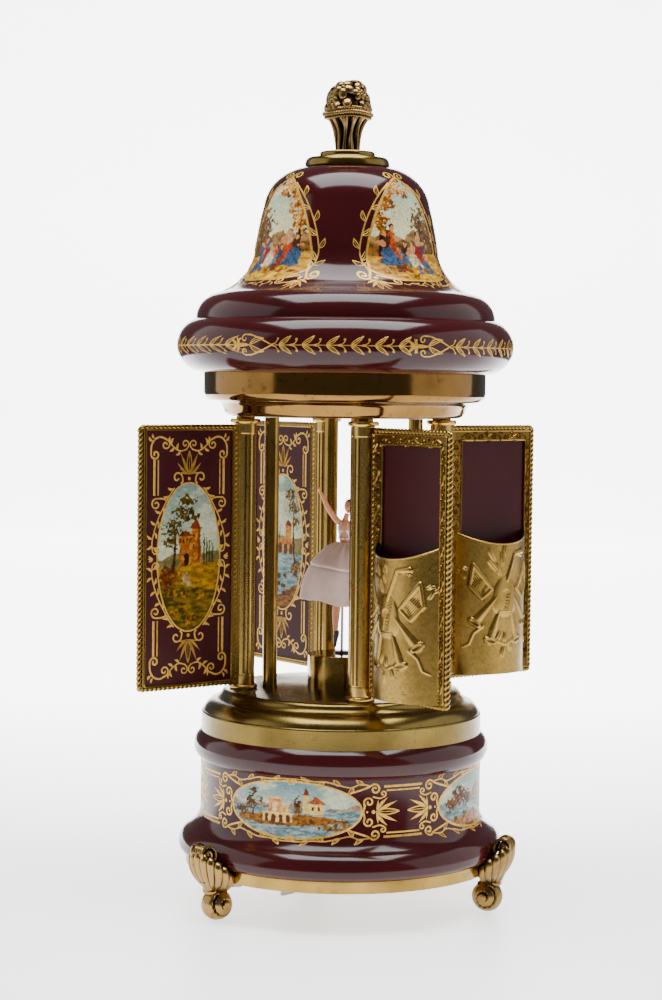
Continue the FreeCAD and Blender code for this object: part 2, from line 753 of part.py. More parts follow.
def comb_and_block():
    """Cast comb block with the front bearing of the cylinder, and the steel comb."""
    stand = block("block_stand", ("-4", "cylinder_low_y - 0.6", "bed_high"),
                  ("5", "cylinder_high_y + 0.2", "cylinder_z - 0.5"))
    arm = block("block_arm", ("barrel_x - 3", "cylinder_low_y - 2.1", "cylinder_z - 2.2"),
                ("5", "cylinder_low_y - 0.6", "cylinder_z + 2.2"))
    holes = [pivot_bore("block_bearing", "barrel_x", "cylinder_low_y - 4", "cylinder_z")]
    screws = []
    for number, y in enumerate(("cylinder_low_y + 4", "cylinder_high_y - 4")):
        holes.append(bar(f"comb_bore_{number}", "1.1", "cylinder_z - 8", "cylinder_z + 2", "0.5", y))
        head = bar(f"comb_screw_head_{number}", "2", "cylinder_z + 0.5", "cylinder_z + 1.8", "0.5", y)
        shank = bar(f"comb_screw_shank_{number}", "1.1", "cylinder_z - 7", "cylinder_z + 0.5", "0.5", y)
        screws.append(fuse(f"comb_screw_{number}", [head, shank]))
    keep(cut("comb_block", fuse("block_cast", [stand, arm]), holes), "comb_block")
    gathered = doc.addObject("Part::Compound", "comb_screws")
    gathered.Links = screws
    keep(gathered, "comb_screws")

    tooth_count = 18
    low_y = size("cylinder_low_y")
    pitch = (size("cylinder_high_y") - low_y) / tooth_count
    tip_x = size("barrel_x + cylinder_r + 0.85")
    thick = 1.0
    steel = Part.makeBox(5 - tip_x, tooth_count * pitch, thick, V(tip_x, low_y, size("cylinder_z") - thick / 2))
    slots = []
    for tooth in range(1, tooth_count):
        root_x = -6.0 + 2.5 * tooth / tooth_count
        slots.append(Part.makeBox(root_x - tip_x + 1, 0.35, 2 * thick,
                                  V(tip_x - 1, low_y + tooth * pitch - 0.175, size("cylinder_z") - thick)))
    for y in ("cylinder_low_y + 4", "cylinder_high_y - 4"):
        slots.append(Part.makeCylinder(1.1, 2 * thick, V(0.5, size(y), size("cylinder_z") - thick)))
    keep(feature("comb", steel.cut(slots)), "comb")


def train_plates():
    """Two upright plates that carry the cylinder, the second wheel and the fly."""
    plates = []
    for label, low, high in (("inner", "cylinder_high_y + 0.7", "cylinder_high_y + 1.9"),
                             ("outer", "cylinder_high_y + 8.4", "cylinder_high_y + 9.6")):
        slab = block(f"{label}_slab", ("barrel_x - 6", low, "bed_high"), ("1", high, "fly_z + 4"))
        holes = []
        for number, (x, z) in enumerate((("barrel_x", "cylinder_z"), ("second_x", "cylinder_z"),
                                         ("second_x", "fly_z"))):
            holes.append(pivot_bore(f"{label}_pivot_{number}", x, f"{low} - 2", z))
        plates.append(cut(f"{label}_plate", slab, holes))
    gathered = doc.addObject("Part::Compound", "train_plates")
    gathered.Links = plates
    keep(gathered, "train_plates")


def spring_barrel():
    """Spring drum with the great wheel below and crown teeth on its lid."""
    x = size("barrel_x")
    low = size("barrel_low")
    high = size("barrel_high")
    radius = size("barrel_r")
    wall = 0.8
    module = size("train_module")
    great = at(gear_shape(GREAT_TEETH, module, 2, 1.6), 0, 0, low - 2)
    drum = Part.makeCylinder(radius, high - low, V(0, 0, low))
    hollow = Part.makeCylinder(radius - wall, high - low - 2 * wall, V(0, 0, low + wall))
    bore = Part.makeCylinder(1.6, 40, V(0, 0, low - 5))
    crown = []
    for tooth in range(CROWN_TEETH):
        peak = Part.makeBox(1.4, 0.5, 1.1, V(11.3, -0.25, high - 0.2))
        peak.rotate(V(0, 0, 0), Z_AXIS, 360 * tooth / CROWN_TEETH)
        crown.append(peak)
    barrel = drum.multiFuse(crown + [great]).cut([hollow, bore])
    keep(feature("spring_barrel", at(barrel, x, 0, 0)), "spring_barrel")

    turns = 5
    inner_r = 3.0
    outer_r = radius - wall - 0.5
    strip = 0.45
    steps = turns * 16
    inside = []
    outside = []
    for step in range(steps + 1):
        angle = 2 * math.pi * turns * step / steps
        radius_here = inner_r + (outer_r - inner_r) * step / steps
        across = V(math.cos(angle), math.sin(angle), 0)
        inside.append(across * (radius_here - strip / 2))
        outside.append(across * (radius_here + strip / 2))
    inner_edge = Part.BSplineCurve()
    inner_edge.interpolate(inside)
    outer_edge = Part.BSplineCurve()
    outer_edge.interpolate(outside)
    ends = [Part.LineSegment(inside[0], outside[0]), Part.LineSegment(inside[-1], outside[-1])]
    edges = [inner_edge.toShape(), outer_edge.toShape()] + [end.toShape() for end in ends]
    strip_face = Part.Face(Part.Wire(Part.__sortEdges__(edges)))
    coil = strip_face.extrude(V(0, 0, high - low - 2 * wall - 0.6))
    keep(feature("mainspring", at(coil, x, 0, low + wall + 0.3)), "mainspring")


def winding():
    """Arbor with its ratchet wheel, and the butterfly key under the base."""
    ratchet = gear_shape(24, 0.4, 1.4, 0)
    arbor = Part.makeCylinder(1.5, size("barrel_high") + 1 - 9, V(0, 0, 9))
    arbor = arbor.fuse(at(ratchet, 0, 0, size("ring_low") + 2.6)).removeSplitter()
    keep(feature("winding_arbor", at(arbor, size("barrel_x"), 0, 0)), "winding_arbor")
    hub = bar("key_hub", "3", "7", "14")
    wing = block("key_wing", ("-9", "-0.7", "2.6"), ("9", "0.7", "11"))
    waist = [block("key_notch", ("-1.6", "-2", "2"), ("1.6", "2", "5"))]
    socket = bar("key_socket", "1.5", "9", "16")
    key = cut("winding_key", fuse("key_cast", [hub, wing]), waist + [socket])
    keep(place(key, V(size("barrel_x"), 0, 0), turned(35)), "winding_key")


def tune_cylinder():
    """Pinned brass cylinder on its arbor with the crown pinion and the train wheel."""
    module = size("train_module")
    low_y = size("cylinder_low_y")
    high_y = size("cylinder_high_y")
    radius = size("cylinder_r")
    drum = Part.makeCylinder(radius, high_y - low_y, V(0, 0, low_y))
    arbor = Part.makeCylinder(1, high_y + 9.6 - 10.9, V(0, 0, 10.9))
    pinion = at(gear_shape(CYLINDER_PINION_TEETH, module, 1.4, 0, 90 + 180.0 / CYLINDER_PINION_TEETH),
                0, 0, 11.3)
    wheel = at(gear_shape(TRAIN_TEETH, module, 2, 0), 0, 0, high_y + 2.4)
    pins = []
    track_count = 18
    pitch = (high_y - low_y) / track_count
    for track in range(track_count):
        for beat in range(3):
            angle = 137.5 * (3 * track + beat)
            pin = Part.makeCylinder(0.2, 1.1, V(radius - 0.4, 0, low_y + (track + 0.5) * pitch), V(1, 0, 0))
            pin.rotate(V(0, 0, 0), Z_AXIS, angle)
            pins.append(pin)
    cylinder = drum.multiFuse(pins + [arbor, pinion, wheel])
    keep(place(feature("tune_cylinder", cylinder), V(size("barrel_x"), 0, size("cylinder_z")), TO_Y_AXIS),
         "tune_cylinder")


def second_wheel():
    """Step-up wheel between the cylinder and the fly."""
    module = size("train_module")
    high_y = size("cylinder_high_y")
    arbor = Part.makeCylinder(1, 8.6, V(0, 0, high_y + 1))
    pinion = at(gear_shape(TRAIN_PINION_TEETH, module, 2, 0, 180.0 / TRAIN_PINION_TEETH), 0, 0, high_y + 2.4)
    wheel = at(gear_shape(TRAIN_TEETH, module, 2, 0), 0, 0, high_y + 5.4)
    solid = arbor.multiFuse([pinion, wheel])
    keep(place(feature("second_wheel", solid), V(size("second_x"), 0, size("cylinder_z")), TO_Y_AXIS),
         "second_wheel")


def fly():
    """Air brake: two blades on the fastest arbor."""
    module = size("train_module")
    high_y = size("cylinder_high_y")
    arbor = Part.makeCylinder(1, 15.2, V(0, 0, high_y + 1))
    pinion = at(gear_shape(TRAIN_PINION_TEETH, module, 2, 0, 180.0 / TRAIN_PINION_TEETH), 0, 0, high_y + 5.4)
    blades = Part.makeBox(12, 0.5, 5, V(-6, -0.25, high_y + 10.8))
    solid = arbor.multiFuse([pinion, blades])
    keep(place(feature("fly", solid), V(size("second_x"), 0, size("fly_z")), TO_Y_AXIS), "fly")


# ---------------------------------------------------------------- assembly

base_body()
bottom_plate()
for foot_number, foot_angle in enumerate(FOOT_ANGLES, start=1):
    foot(foot_number, foot_angle)
base_screws()
base_top_plate()
dancer_drum()
for rod_number, rod_angle in enumerate(COLUMN_ANGLES, start=1):
    cage_rod(rod_number, rod_angle)
rod_nuts()
top_plate()
dome()
finial_seat()
bouquet()
for door_number, door_angle in enumerate(COLUMN_ANGLES, start=1):
    door(door_number, door_angle)
dancer()
dancer_skirt()
bedplate()
comb_and_block()
train_plates()
spring_barrel()
winding()
tune_cylinder()
second_wheel()
fly()
doc.recompute()

for made in doc.Objects:
    if {"Invalid", "Error"} & set(made.State):
        raise RuntimeError(f"{made.Name} failed: {made.State}")
os.makedirs("parts", exist_ok=True)
for node in nodes:
    if node.Shape.isNull() or not node.Shape.isValid():
        raise RuntimeError(f"{node.Label} has no valid shape")
    node.Shape.exportStep(f"parts/{node.Label}.step")
print(len(nodes), "sub-parts written")
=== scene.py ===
"""Looks of the carousel music box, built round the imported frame."""
import math

import bpy
import numpy as np
from mathutils import Matrix, Vector


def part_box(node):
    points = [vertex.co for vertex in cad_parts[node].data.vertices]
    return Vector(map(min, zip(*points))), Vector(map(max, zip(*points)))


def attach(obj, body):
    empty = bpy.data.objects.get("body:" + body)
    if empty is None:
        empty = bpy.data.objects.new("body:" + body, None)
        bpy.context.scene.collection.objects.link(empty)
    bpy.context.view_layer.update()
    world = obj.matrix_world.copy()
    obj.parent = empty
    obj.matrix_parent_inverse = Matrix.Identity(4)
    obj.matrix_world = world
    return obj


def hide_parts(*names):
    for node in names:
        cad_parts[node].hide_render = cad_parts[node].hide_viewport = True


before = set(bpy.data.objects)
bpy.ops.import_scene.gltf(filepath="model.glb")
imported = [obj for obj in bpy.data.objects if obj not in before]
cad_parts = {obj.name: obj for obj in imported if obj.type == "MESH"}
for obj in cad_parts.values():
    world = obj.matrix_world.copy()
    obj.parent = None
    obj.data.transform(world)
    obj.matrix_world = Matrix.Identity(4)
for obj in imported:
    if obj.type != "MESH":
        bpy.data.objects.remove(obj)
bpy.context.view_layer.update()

MM = 0.001
TAU = 2 * math.pi
GOLDEN_TURN = math.radians(137.5)
CAMERA_AZIMUTH = -10.6


def top(node):
    """Highest point of a CAD node, in millimetres."""
    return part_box(node)[1][2] / MM


def low(node):
    """Lowest point of a CAD node, in millimetres."""
    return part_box(node)[0][2] / MM


def reach(node):
    """Radius of a CAD node that is turned about the box's axis, in millimetres."""
    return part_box(node)[1][0] / MM


RING_LOW = low("bottom_plate")
RING_HIGH = top("bottom_plate")
RING_R = reach("bottom_plate")
BAND_LOW = low("base_top_plate")
DECK = low("dancer_drum")
CEILING = low("top_plate")
DISH_R = reach("top_plate")
DOME_LOW = top("top_plate")
DOME_HIGH = top("dome")
SEAT_HIGH = top("finial_seat")
FULL_HIGH = top("finial_bouquet")
DRUM_HIGH = top("dancer_drum")
DOOR_LOW = low("door_1_frame")
DOOR_HIGH = top("door_1_frame")
POCKET_LOW = low("door_1_pocket")
POCKET_HIGH = top("door_1_pocket")
COLUMN_RING = 45.0
SHAFT_R = 4.95
DOOR_WIDE = 57.9
DOOR_OPEN_TURN = 27.0
COLUMN_ANGLES = {1: 270, 2: 180, 3: 90, 4: 0}
FOOT_ANGLES = {1: 90, 2: 210, 3: 330}
FOOT_RING = 70.2
WAIST_R = 63.4
BULGE_R = 73.2
BAND_R = 63.3


# ------------------------------------------------------------ node materials

class Shader:
    """A principled material with short-hand for adding and linking nodes."""

    def __init__(self, name, **sockets):
        self.material = bpy.data.materials.new(name)
        self.material.use_nodes = True
        self.tree = self.material.node_tree
        self.out = self.tree.nodes["Principled BSDF"]
        for socket, value in sockets.items():
            self.out.inputs[socket.replace("_", " ")].default_value = value

    def node(self, kind, **settings):
        made = self.tree.nodes.new(kind)
        for key, value in settings.items():
            if key.startswith("in_"):
                made.inputs[key[3:].replace("_", " ")].default_value = value
            else:
                setattr(made, key, value)
        return made

    def link(self, source, target):
        self.tree.links.new(source, target)

    def flute_depth(self, axis):
        """How deep in a column's flutes a point is, as its share of painted shade: high at the bottom of the
        flutes and 0 on the ridges.
        """
        spot = self.node("ShaderNodeNewGeometry").outputs["Position"]
        flat = self.node("ShaderNodeVectorMath", operation="MULTIPLY_ADD")
        self.link(spot, flat.inputs[0])
        flat.inputs[1].default_value = (1, 1, 0)
        flat.inputs[2].default_value = (-axis[0], -axis[1], 0)
        away = self.node("ShaderNodeVectorMath", operation="LENGTH")
        self.link(flat.outputs[0], away.inputs[0])
        depth = self.node("ShaderNodeMapRange")
        self.link(away.outputs["Value"], depth.inputs["Value"])
        for socket, value in (("From Min", SHAFT_R - 0.36), ("From Max", SHAFT_R - 0.05)):
            depth.inputs[socket].default_value = value * MM
        depth.inputs["To Min"].default_value = 0.85
        depth.inputs["To Max"].default_value = 0
        return depth.outputs["Result"]

    def place(self):
        """Object coordinates, in metres."""
        return self.node("ShaderNodeTexCoord").outputs["Object"]

    def noise(self, scale, detail=4.0, stretch=None):
        """Noise over the object, scale in features per metre."""
        made = self.node("ShaderNodeTexNoise", in_Scale=scale, in_Detail=detail)
        source = self.place()
        if stretch:
            mapping = self.node("ShaderNodeMapping", in_Scale=stretch)
            self.link(source, mapping.inputs["Vector"])
            source = mapping.outputs["Vector"]
        self.link(source, made.inputs["Vector"])
        return made.outputs["Fac"]

    def ramp(self, source, stops):
        """Colour ramp with stops of (position, colour)."""
        made = self.node("ShaderNodeValToRGB")
        elements = made.color_ramp.elements
        while len(elements) < len(stops):
            elements.new(0.5)
        for element, (position, colour) in zip(elements, stops):
            element.position = position
            element.color = (*colour, 1)
        self.link(source, made.inputs["Fac"])
        return made.outputs["Color"]

    def attribute(self, name):
        return self.node("ShaderNodeAttribute", attribute_name=name)

    def mix(self, factor, first, second, blend="MIX"):
        """Colour mix; each input is a socket or a constant."""
        made = self.node("ShaderNodeMix", data_type="RGBA", blend_type=blend)
        sockets = (made.inputs[0], made.inputs[6], made.inputs[7])
        for socket, value in zip(sockets, (factor, first, second)):
            if isinstance(value, bpy.types.NodeSocket):
                self.link(value, socket)
            else:
                socket.default_value = value
        return made.outputs[2]

    def set(self, socket, source):
        self.link(source, self.out.inputs[socket])

    def bump(self, source, strength, distance_mm):
        made = self.node("ShaderNodeBump", in_Strength=strength, in_Distance=distance_mm * MM)
        self.link(source, made.inputs["Height"])
        return made.outputs["Normal"]


def even(value):
    """Grey of one value, as a ramp's colour."""
    return (value,) * 3


def brass_material(name, clean, tarnish, rough, spots=260.0, bump=0.02, painted_shade=None, grain=(900.0, None),
                   axis=None):
    """Brass that dulls and darkens in patches; painted_shade is the colour of the shade painted in its
    recesses.

    grain is the scale and stretch of its fine bumps. axis is the (x, y) of a fluted column, in
    metres: the nearer to it, the deeper in a flute and the more painted shade it gets."""
    shader = Shader(name, Metallic=1.0)
    patches = shader.noise(38.0, 5.0)
    specks = shader.noise(spots, 3.0)
    colour = shader.ramp(patches, [(0.42, clean), (0.72, tarnish)])
    speckled = shader.ramp(specks, [(0.60, even(0)), (0.74, even(0.6))])
    colour = shader.mix(speckled, colour, (*[0.5 * c for c in tarnish], 1))
    # painted shade: recesses, or a column's flutes, are mixed toward the painted_shade colour
    if painted_shade:
        depth = shader.flute_depth(axis) if axis else shader.attribute("painted_shade").outputs["Fac"]
        colour = shader.mix(depth, colour, (*painted_shade, 1))
    shader.set("Base Color", colour)
    shader.set("Roughness", shader.ramp(patches, [(0.35, even(rough[0])), (0.75, even(rough[1]))]))
    shader.set("Normal", shader.bump(shader.noise(grain[0], 2.0, grain[1]), bump, 0.2))
    return shader.material


def lacquer_material(name, colour, deep, rough, level):
    """Deep burgundy lacquer: nearly even colour under a hard gloss."""
    shader = Shader(name, Specular_IOR_Level=level, IOR=1.5)
    clouds = shader.noise(22.0, 3.0)
    shader.set("Base Color", shader.ramp(clouds, [(0.35, deep), (0.7, colour)]))
    wear = shader.noise(260.0, 3.0)
    shader.set("Roughness", shader.ramp(wear, [(0.45, even(rough)), (0.9, even(rough + 0.05))]))
    shader.set("Normal", shader.bump(shader.noise(60.0, 2.0), 0.02, 0.6))
    return shader.material


def gilt_material():
    """Printed gold: flatter and paler than the brass, slightly rubbed."""
    shader = Shader("gilt_print", Metallic=0.45, Roughness=0.38)
    rub = shader.noise(700.0, 4.0)
    shader.set("Base Color", shader.ramp(rub, [(0.30, (0.34, 0.18, 0.022)), (0.52, (0.64, 0.365, 0.050))]))
    shader.set("Normal", shader.bump(rub, 0.1, 0.05))
    return shader.material


def paint_material():
    """Hand-painted colours carried by the mesh, under clear varnish."""
    shader = Shader("varnished_painting", Roughness=0.34, Specular_IOR_Level=0.12)
    colour = shader.attribute("paint").outputs["Color"]
    dabs = shader.noise(1500.0, 3.0)
    brushwork = shader.ramp(dabs, [(0.3, (0.25, 0.2, 0.16)), (0.7, (1, 1, 0.96))])
    shader.set("Base Color", shader.mix(0.18, colour, brushwork, "OVERLAY"))
    shader.set("Normal", shader.bump(dabs, 0.15, 0.08))
    return shader.material


def plain_material(name, colour, rough, metallic=0.0, scale=500.0, vary=0.25):
    """Simple surface with fine mottling in colour and finish."""
    shader = Shader(name, Metallic=metallic)
    mottle = shader.noise(scale, 4.0)
    dark = tuple(c * (1 - vary) for c in colour)
    shader.set("Base Color", shader.ramp(mottle, [(0.35, dark), (0.65, colour)]))
    shader.set("Roughness", shader.ramp(mottle, [(0.3, even(rough)), (0.8, even(1.4 * rough))]))
    shader.set("Normal", shader.bump(mottle, 0.1, 0.1))
    return shader.material


def satin_material():
    """Dull mauve satin: fine weave, soft sheen."""
    shader = Shader("satin", Roughness=0.5, Sheen_Weight=0.35, Sheen_Roughness=0.35, Anisotropic=0.3)
    weave_a = shader.node("ShaderNodeTexWave", in_Scale=900.0, in_Distortion=1.2, bands_direction="Z")
    weave_b = shader.node("ShaderNodeTexWave", in_Scale=900.0, in_Distortion=1.2, bands_direction="X")
    for weave in (weave_a, weave_b):
        shader.link(shader.place(), weave.inputs["Vector"])
    threads = shader.mix(0.5, weave_a.outputs["Color"], weave_b.outputs["Color"], "MULTIPLY")
    mottle = shader.noise(120.0, 4.0)
    shader.set("Base Color", shader.ramp(mottle, [(0.3, (0.62, 0.43, 0.36)), (0.7, (0.78, 0.57, 0.49))]))
    shader.set("Normal", shader.bump(threads, 0.25, 0.06))
    return shader.material


LACQUER = lacquer_material("burgundy_lacquer", (0.040, 0.0034, 0.0044), (0.028, 0.0024, 0.0034), 0.13, 0.34)
PANEL_LACQUER = lacquer_material("panel_lacquer", (0.040, 0.0046, 0.0060), (0.030, 0.0034, 0.0046),
                                 0.30, 0.13)
BRASS = brass_material("polished_brass", (0.35, 0.222, 0.055), (0.21, 0.125, 0.029), (0.10, 0.24))
SATIN_BRASS = brass_material("satin_band_brass", (0.180, 0.124, 0.033), (0.115, 0.074, 0.019), (0.20, 0.32),
                             900.0, 0.05, grain=(500.0, (1, 1, 6)))
BRONZE = brass_material("bronze_dish", (0.24, 0.128, 0.034), (0.13, 0.066, 0.017), (0.08, 0.18))
# the last colour given to the embossed, pocket and cast brass is their painted shade
EMBOSSED = brass_material("embossed_brass", (0.29, 0.178, 0.040), (0.17, 0.098, 0.021), (0.20, 0.34),
                          500.0, 0.10, (0.035, 0.018, 0.0045))
POCKET_BRASS = brass_material("satin_pocket_brass", (0.37, 0.235, 0.058), (0.22, 0.130, 0.029), (0.27, 0.40),
                              700.0, 0.16, (0.035, 0.018, 0.005))
CAST = brass_material("antique_cast_brass", (0.30, 0.190, 0.062), (0.12, 0.070, 0.020), (0.22, 0.38),
                      420.0, 0.12, (0.016, 0.009, 0.004))
GILT = gilt_material()
PAINT = paint_material()
SKIN = plain_material("painted_skin", (0.70, 0.275, 0.125), 0.42, scale=900.0, vary=0.12)
SATIN = satin_material()
STEEL = plain_material("bright_steel", (0.36, 0.36, 0.355), 0.30, 1.0)
DARK = plain_material("dark_plastic", (0.03, 0.026, 0.022), 0.5)
ALLOY = plain_material("grey_casting", (0.45, 0.45, 0.44), 0.45, 0.8, 300.0)


# ------------------------------------------------------------ mesh helpers

def make_piece(name, vertices, faces, material, body, colours=None, painted_shade=None):
    """Mesh piece from millimetre vertices; painted_shade is a 0-1 share of painted shade per vertex, colours
    RGB per vertex.
    """
    mesh = bpy.data.meshes.new(name)
    points = np.asarray(vertices, dtype=float) * MM
    mesh.from_pydata(points.tolist(), [], [tuple(int(i) for i in face) for face in faces])
    mesh.validate()
    if colours is not None:
        layer = mesh.color_attributes.new("paint", "FLOAT_COLOR", "POINT")
        rgba = np.ones((len(points), 4))
        rgba[:, :3] = colours
        layer.data.foreach_set("color", rgba.ravel())
    # per-vertex share of painted shade, read by the brass materials
    if painted_shade is not None:
        layer = mesh.attributes.new("painted_shade", "FLOAT", "POINT")
        layer.data.foreach_set("value", np.clip(painted_shade, 0, 1))
    mesh.materials.append(material)
    mesh.shade_smooth()
    mesh.set_sharp_from_angle(angle=math.radians(38))
    piece = bpy.data.objects.new(name, mesh)
    bpy.context.scene.collection.objects.link(piece)
    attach(piece, body)
    return piece


def grid_faces(rows, columns, wrap_columns=False, wrap_rows=False):
    """Quads of a grid of rows x columns vertices."""
    row_ids = np.arange(rows if wrap_rows else rows - 1)
    column_ids = np.arange(columns if wrap_columns else columns - 1)
    row, column = np.meshgrid(row_ids * columns, column_ids, indexing="ij")
    next_row = (row + columns) % (rows * columns)
    next_column = (column + 1) % columns
    corners = [row + column, row + next_column, next_row + next_column, next_row + column]
    return np.stack(corners, -1).reshape(-1, 4)


def ring_angles(count):
    """Angles of points spread evenly round a turn."""
    return np.arange(count) * TAU / count


def directions(angle):
    """Unit vector at an angle in degrees, and the one a quarter turn on from it."""
    turn = math.radians(angle)
    along = np.array([math.cos(turn), math.sin(turn)])
    return along, np.array([-along[1], along[0]])


def path_run(path):
    """Distance run along a path at each of its points."""
    return np.concatenate([[0], np.cumsum(np.linalg.norm(np.diff(path, axis=0), axis=1))])


def bent_outline(corners, steps=12):
    """Outline through (across, up[, radius]) corners; a radius bends the edge that arrives there."""
    points = []
    for corner in corners:
        end = np.array(corner[:2], dtype=float)
        if len(corner) > 2 and points:
            start = points[-1]
            radius = corner[2]
            chord = end - start
            length = np.linalg.norm(chord)
            left = np.array([-chord[1], chord[0]]) / length
            rise = math.sqrt(max(radius ** 2 - length ** 2 / 4, 0)) * math.copysign(1, radius)
            centre = (start + end) / 2 + left * rise
            from_angle = math.atan2(*(start - centre)[::-1])
            sweep = 2 * math.asin(min(1, length / 2 / abs(radius))) * math.copysign(1, radius)
            for step in range(1, steps):
                angle = from_angle + sweep * step / steps
                points.append(centre + abs(radius) * np.array([math.cos(angle), math.sin(angle)]))
        points.append(end)
    return np.array(points)


def turned_piece(name, outline, material, segments):
    """Part of the case turned about the box's axis from a closed half outline (radius, height)."""
    angles = ring_angles(segments)
    radius = outline[:, 0][:, None]
    height = np.repeat(outline[:, 1][:, None], segments, axis=1)
    points = np.stack([radius * np.cos(angles), radius * np.sin(angles), height], -1).reshape(-1, 3)
    faces = grid_faces(len(outline), segments, wrap_columns=True, wrap_rows=True)
    return make_piece(name, points, faces[:, ::-1], material, "case")


def frames_along(path, closed):
    """Normal and side at each point of a path, without twist."""
    if closed:
        tangent = np.roll(path, -1, 0) - np.roll(path, 1, 0)
    else:
        tangent = np.gradient(path, axis=0)
    tangent /= np.linalg.norm(tangent, axis=1)[:, None] + 1e-12
    normal = np.zeros_like(path)
    start = np.cross(tangent[0], (0.31, 0.17, 0.93))
    normal[0] = start / np.linalg.norm(start)
    for i in range(1, len(path)):
        carried = normal[i - 1] - tangent[i] * np.dot(normal[i - 1], tangent[i])
        normal[i] = carried / (np.linalg.norm(carried) + 1e-12)
    return normal, np.cross(tangent, normal)


def swept(path, radius, closed):
    """Points and faces swept along a path; radius has a row per point of it and a column per side."""
    sides = radius.shape[1]
    normal, side = frames_along(path, closed)
    angles = ring_angles(sides)
    ring = normal[:, None] * np.cos(angles)[None, :, None] + side[:, None] * np.sin(angles)[None, :, None]
    points = (path[:, None] + ring * radius[..., None]).reshape(-1, 3)
    return points, grid_faces(len(path), sides, wrap_columns=True, wrap_rows=closed).tolist()


def tube(path, radius, sides=10, closed=False):
    """Vertices and faces of a round tube; radius is a number or one per point."""
    path = np.asarray(path, dtype=float)
    radius = np.broadcast_to(np.reshape(radius, (-1, 1)), (len(path), sides))
    points, faces = swept(path, radius, closed)
    if not closed:
        faces.append(list(range(sides))[::-1])
        faces.append([len(points) - sides + i for i in range(sides)])
    return points, faces


def joined(parts):
    """One vertex and face list out of several."""
    vertices = []
    faces = []
    count = 0
    for points, polygons in parts:
        vertices.append(np.asarray(points, dtype=float))
        faces += [[i + count for i in polygon] for polygon in polygons]
        count += len(points)
    return np.concatenate(vertices), faces


class Casting:
    """Parts of one casting, with the painted shade of each of their points."""

    def __init__(self):
        self.parts = []
        self.shades = []

    def add(self, part, shade=0.0):
        self.parts.append(part)
        self.shades.append(np.broadcast_to(shade, (len(part[0]),)))

    def mesh(self):
        """Points, faces and painted shades of all parts together."""
        return (*joined(self.parts), np.concatenate(self.shades))


def leaned(points, degrees):
    """Tips points about Y, from up towards +x."""
    lean = math.radians(degrees)
    c, s = math.cos(lean), math.sin(lean)
    return points @ np.array([[c, 0, -s], [0, 1, 0], [s, 0, c]])


def turn_z(points, degrees):
    """Points turned about the box's axis."""
    angle = math.radians(degrees)
    c, s = math.cos(angle), math.sin(angle)
    return np.asarray(points) @ np.array([[c, s, 0], [-s, c, 0], [0, 0, 1]])


def smooth_noise(x, y, scale, seed=0, octaves=4):
    """Fractal value noise, 0 to 1, over arrays x and y."""
    total = np.zeros(np.shape(x))
    weight = 0.0
    for octave in range(octaves):
        step = scale / 2 ** octave
        gx, gy = x / step, y / step
        ix, iy = np.floor(gx).astype(int), np.floor(gy).astype(int)
        fx, fy = gx - ix, gy - iy
        fx, fy = fx * fx * (3 - 2 * fx), fy * fy * (3 - 2 * fy)

        def lattice(i, j):
            value = np.sin(i * 127.1 + j * 311.7 + (seed + octave) * 74.7) * 43758.5453
            return value - np.floor(value)

        bottom = lattice(ix, iy) * (1 - fx) + lattice(ix + 1, iy) * fx
        upper = lattice(ix, iy + 1) * (1 - fx) + lattice(ix + 1, iy + 1) * fx
        amount = 0.5 ** octave
        total += amount * (bottom * (1 - fy) + upper * fy)
        weight += amount
    return total / weight


# ------------------------------------------------------------ gilt ornament

def flow(points, steps=6):
    """Smooth path through a few points (Catmull-Rom)."""
    points = np.asarray(points, dtype=float)
    ends = np.vstack([2 * points[0] - points[1], points, 2 * points[-1] - points[-2]])
    path = []
    for a, b, c, d in zip(ends, ends[1:], ends[2:], ends[3:]):
        for step in range(steps):
            t = step / steps
            path.append(0.5 * (2 * b + (c - a) * t + (2 * a - 5 * b + 4 * c - d) * t ** 2
                               + (3 * b - a - 3 * c + d) * t ** 3))
    path.append(points[-1])
    return np.array(path)


def volute(centre, radius, start, hand, turns):
    """Spiral that winds into a centre from the outer angle start, in degrees."""
    share = np.linspace(0, 1, 22)
    angle = math.radians(start) + hand * turns * TAU * share
    away = radius * (1 - 0.80 * share)
    return np.stack([centre[0] + away * np.cos(angle), centre[1] + away * np.sin(angle)], -1)


def scroll(points, centre, radius, start, hand, turns):
    """Stem through points that runs into a volute."""
    coil = volute(centre, radius, start, hand, turns)
    return np.vstack([flow(list(points) + [coil[0]]), coil[1:]])


def midrib(base, angle, length, bend, count):
    """Shares, points and side direction of a leaf's middle line; bend bows it to that side."""
    share = np.linspace(0, 1, count)
    along, side = directions(angle)
    bow = np.sin(share * math.pi) * bend * length
    return share, np.asarray(base) + np.outer(share * length, along) + np.outer(bow, side), side


def heading_at(path, i):
    """Direction of a path at one of its points, in degrees."""
    along = np.gradient(path, axis=0)[i]
    return math.degrees(math.atan2(along[1], along[0]))


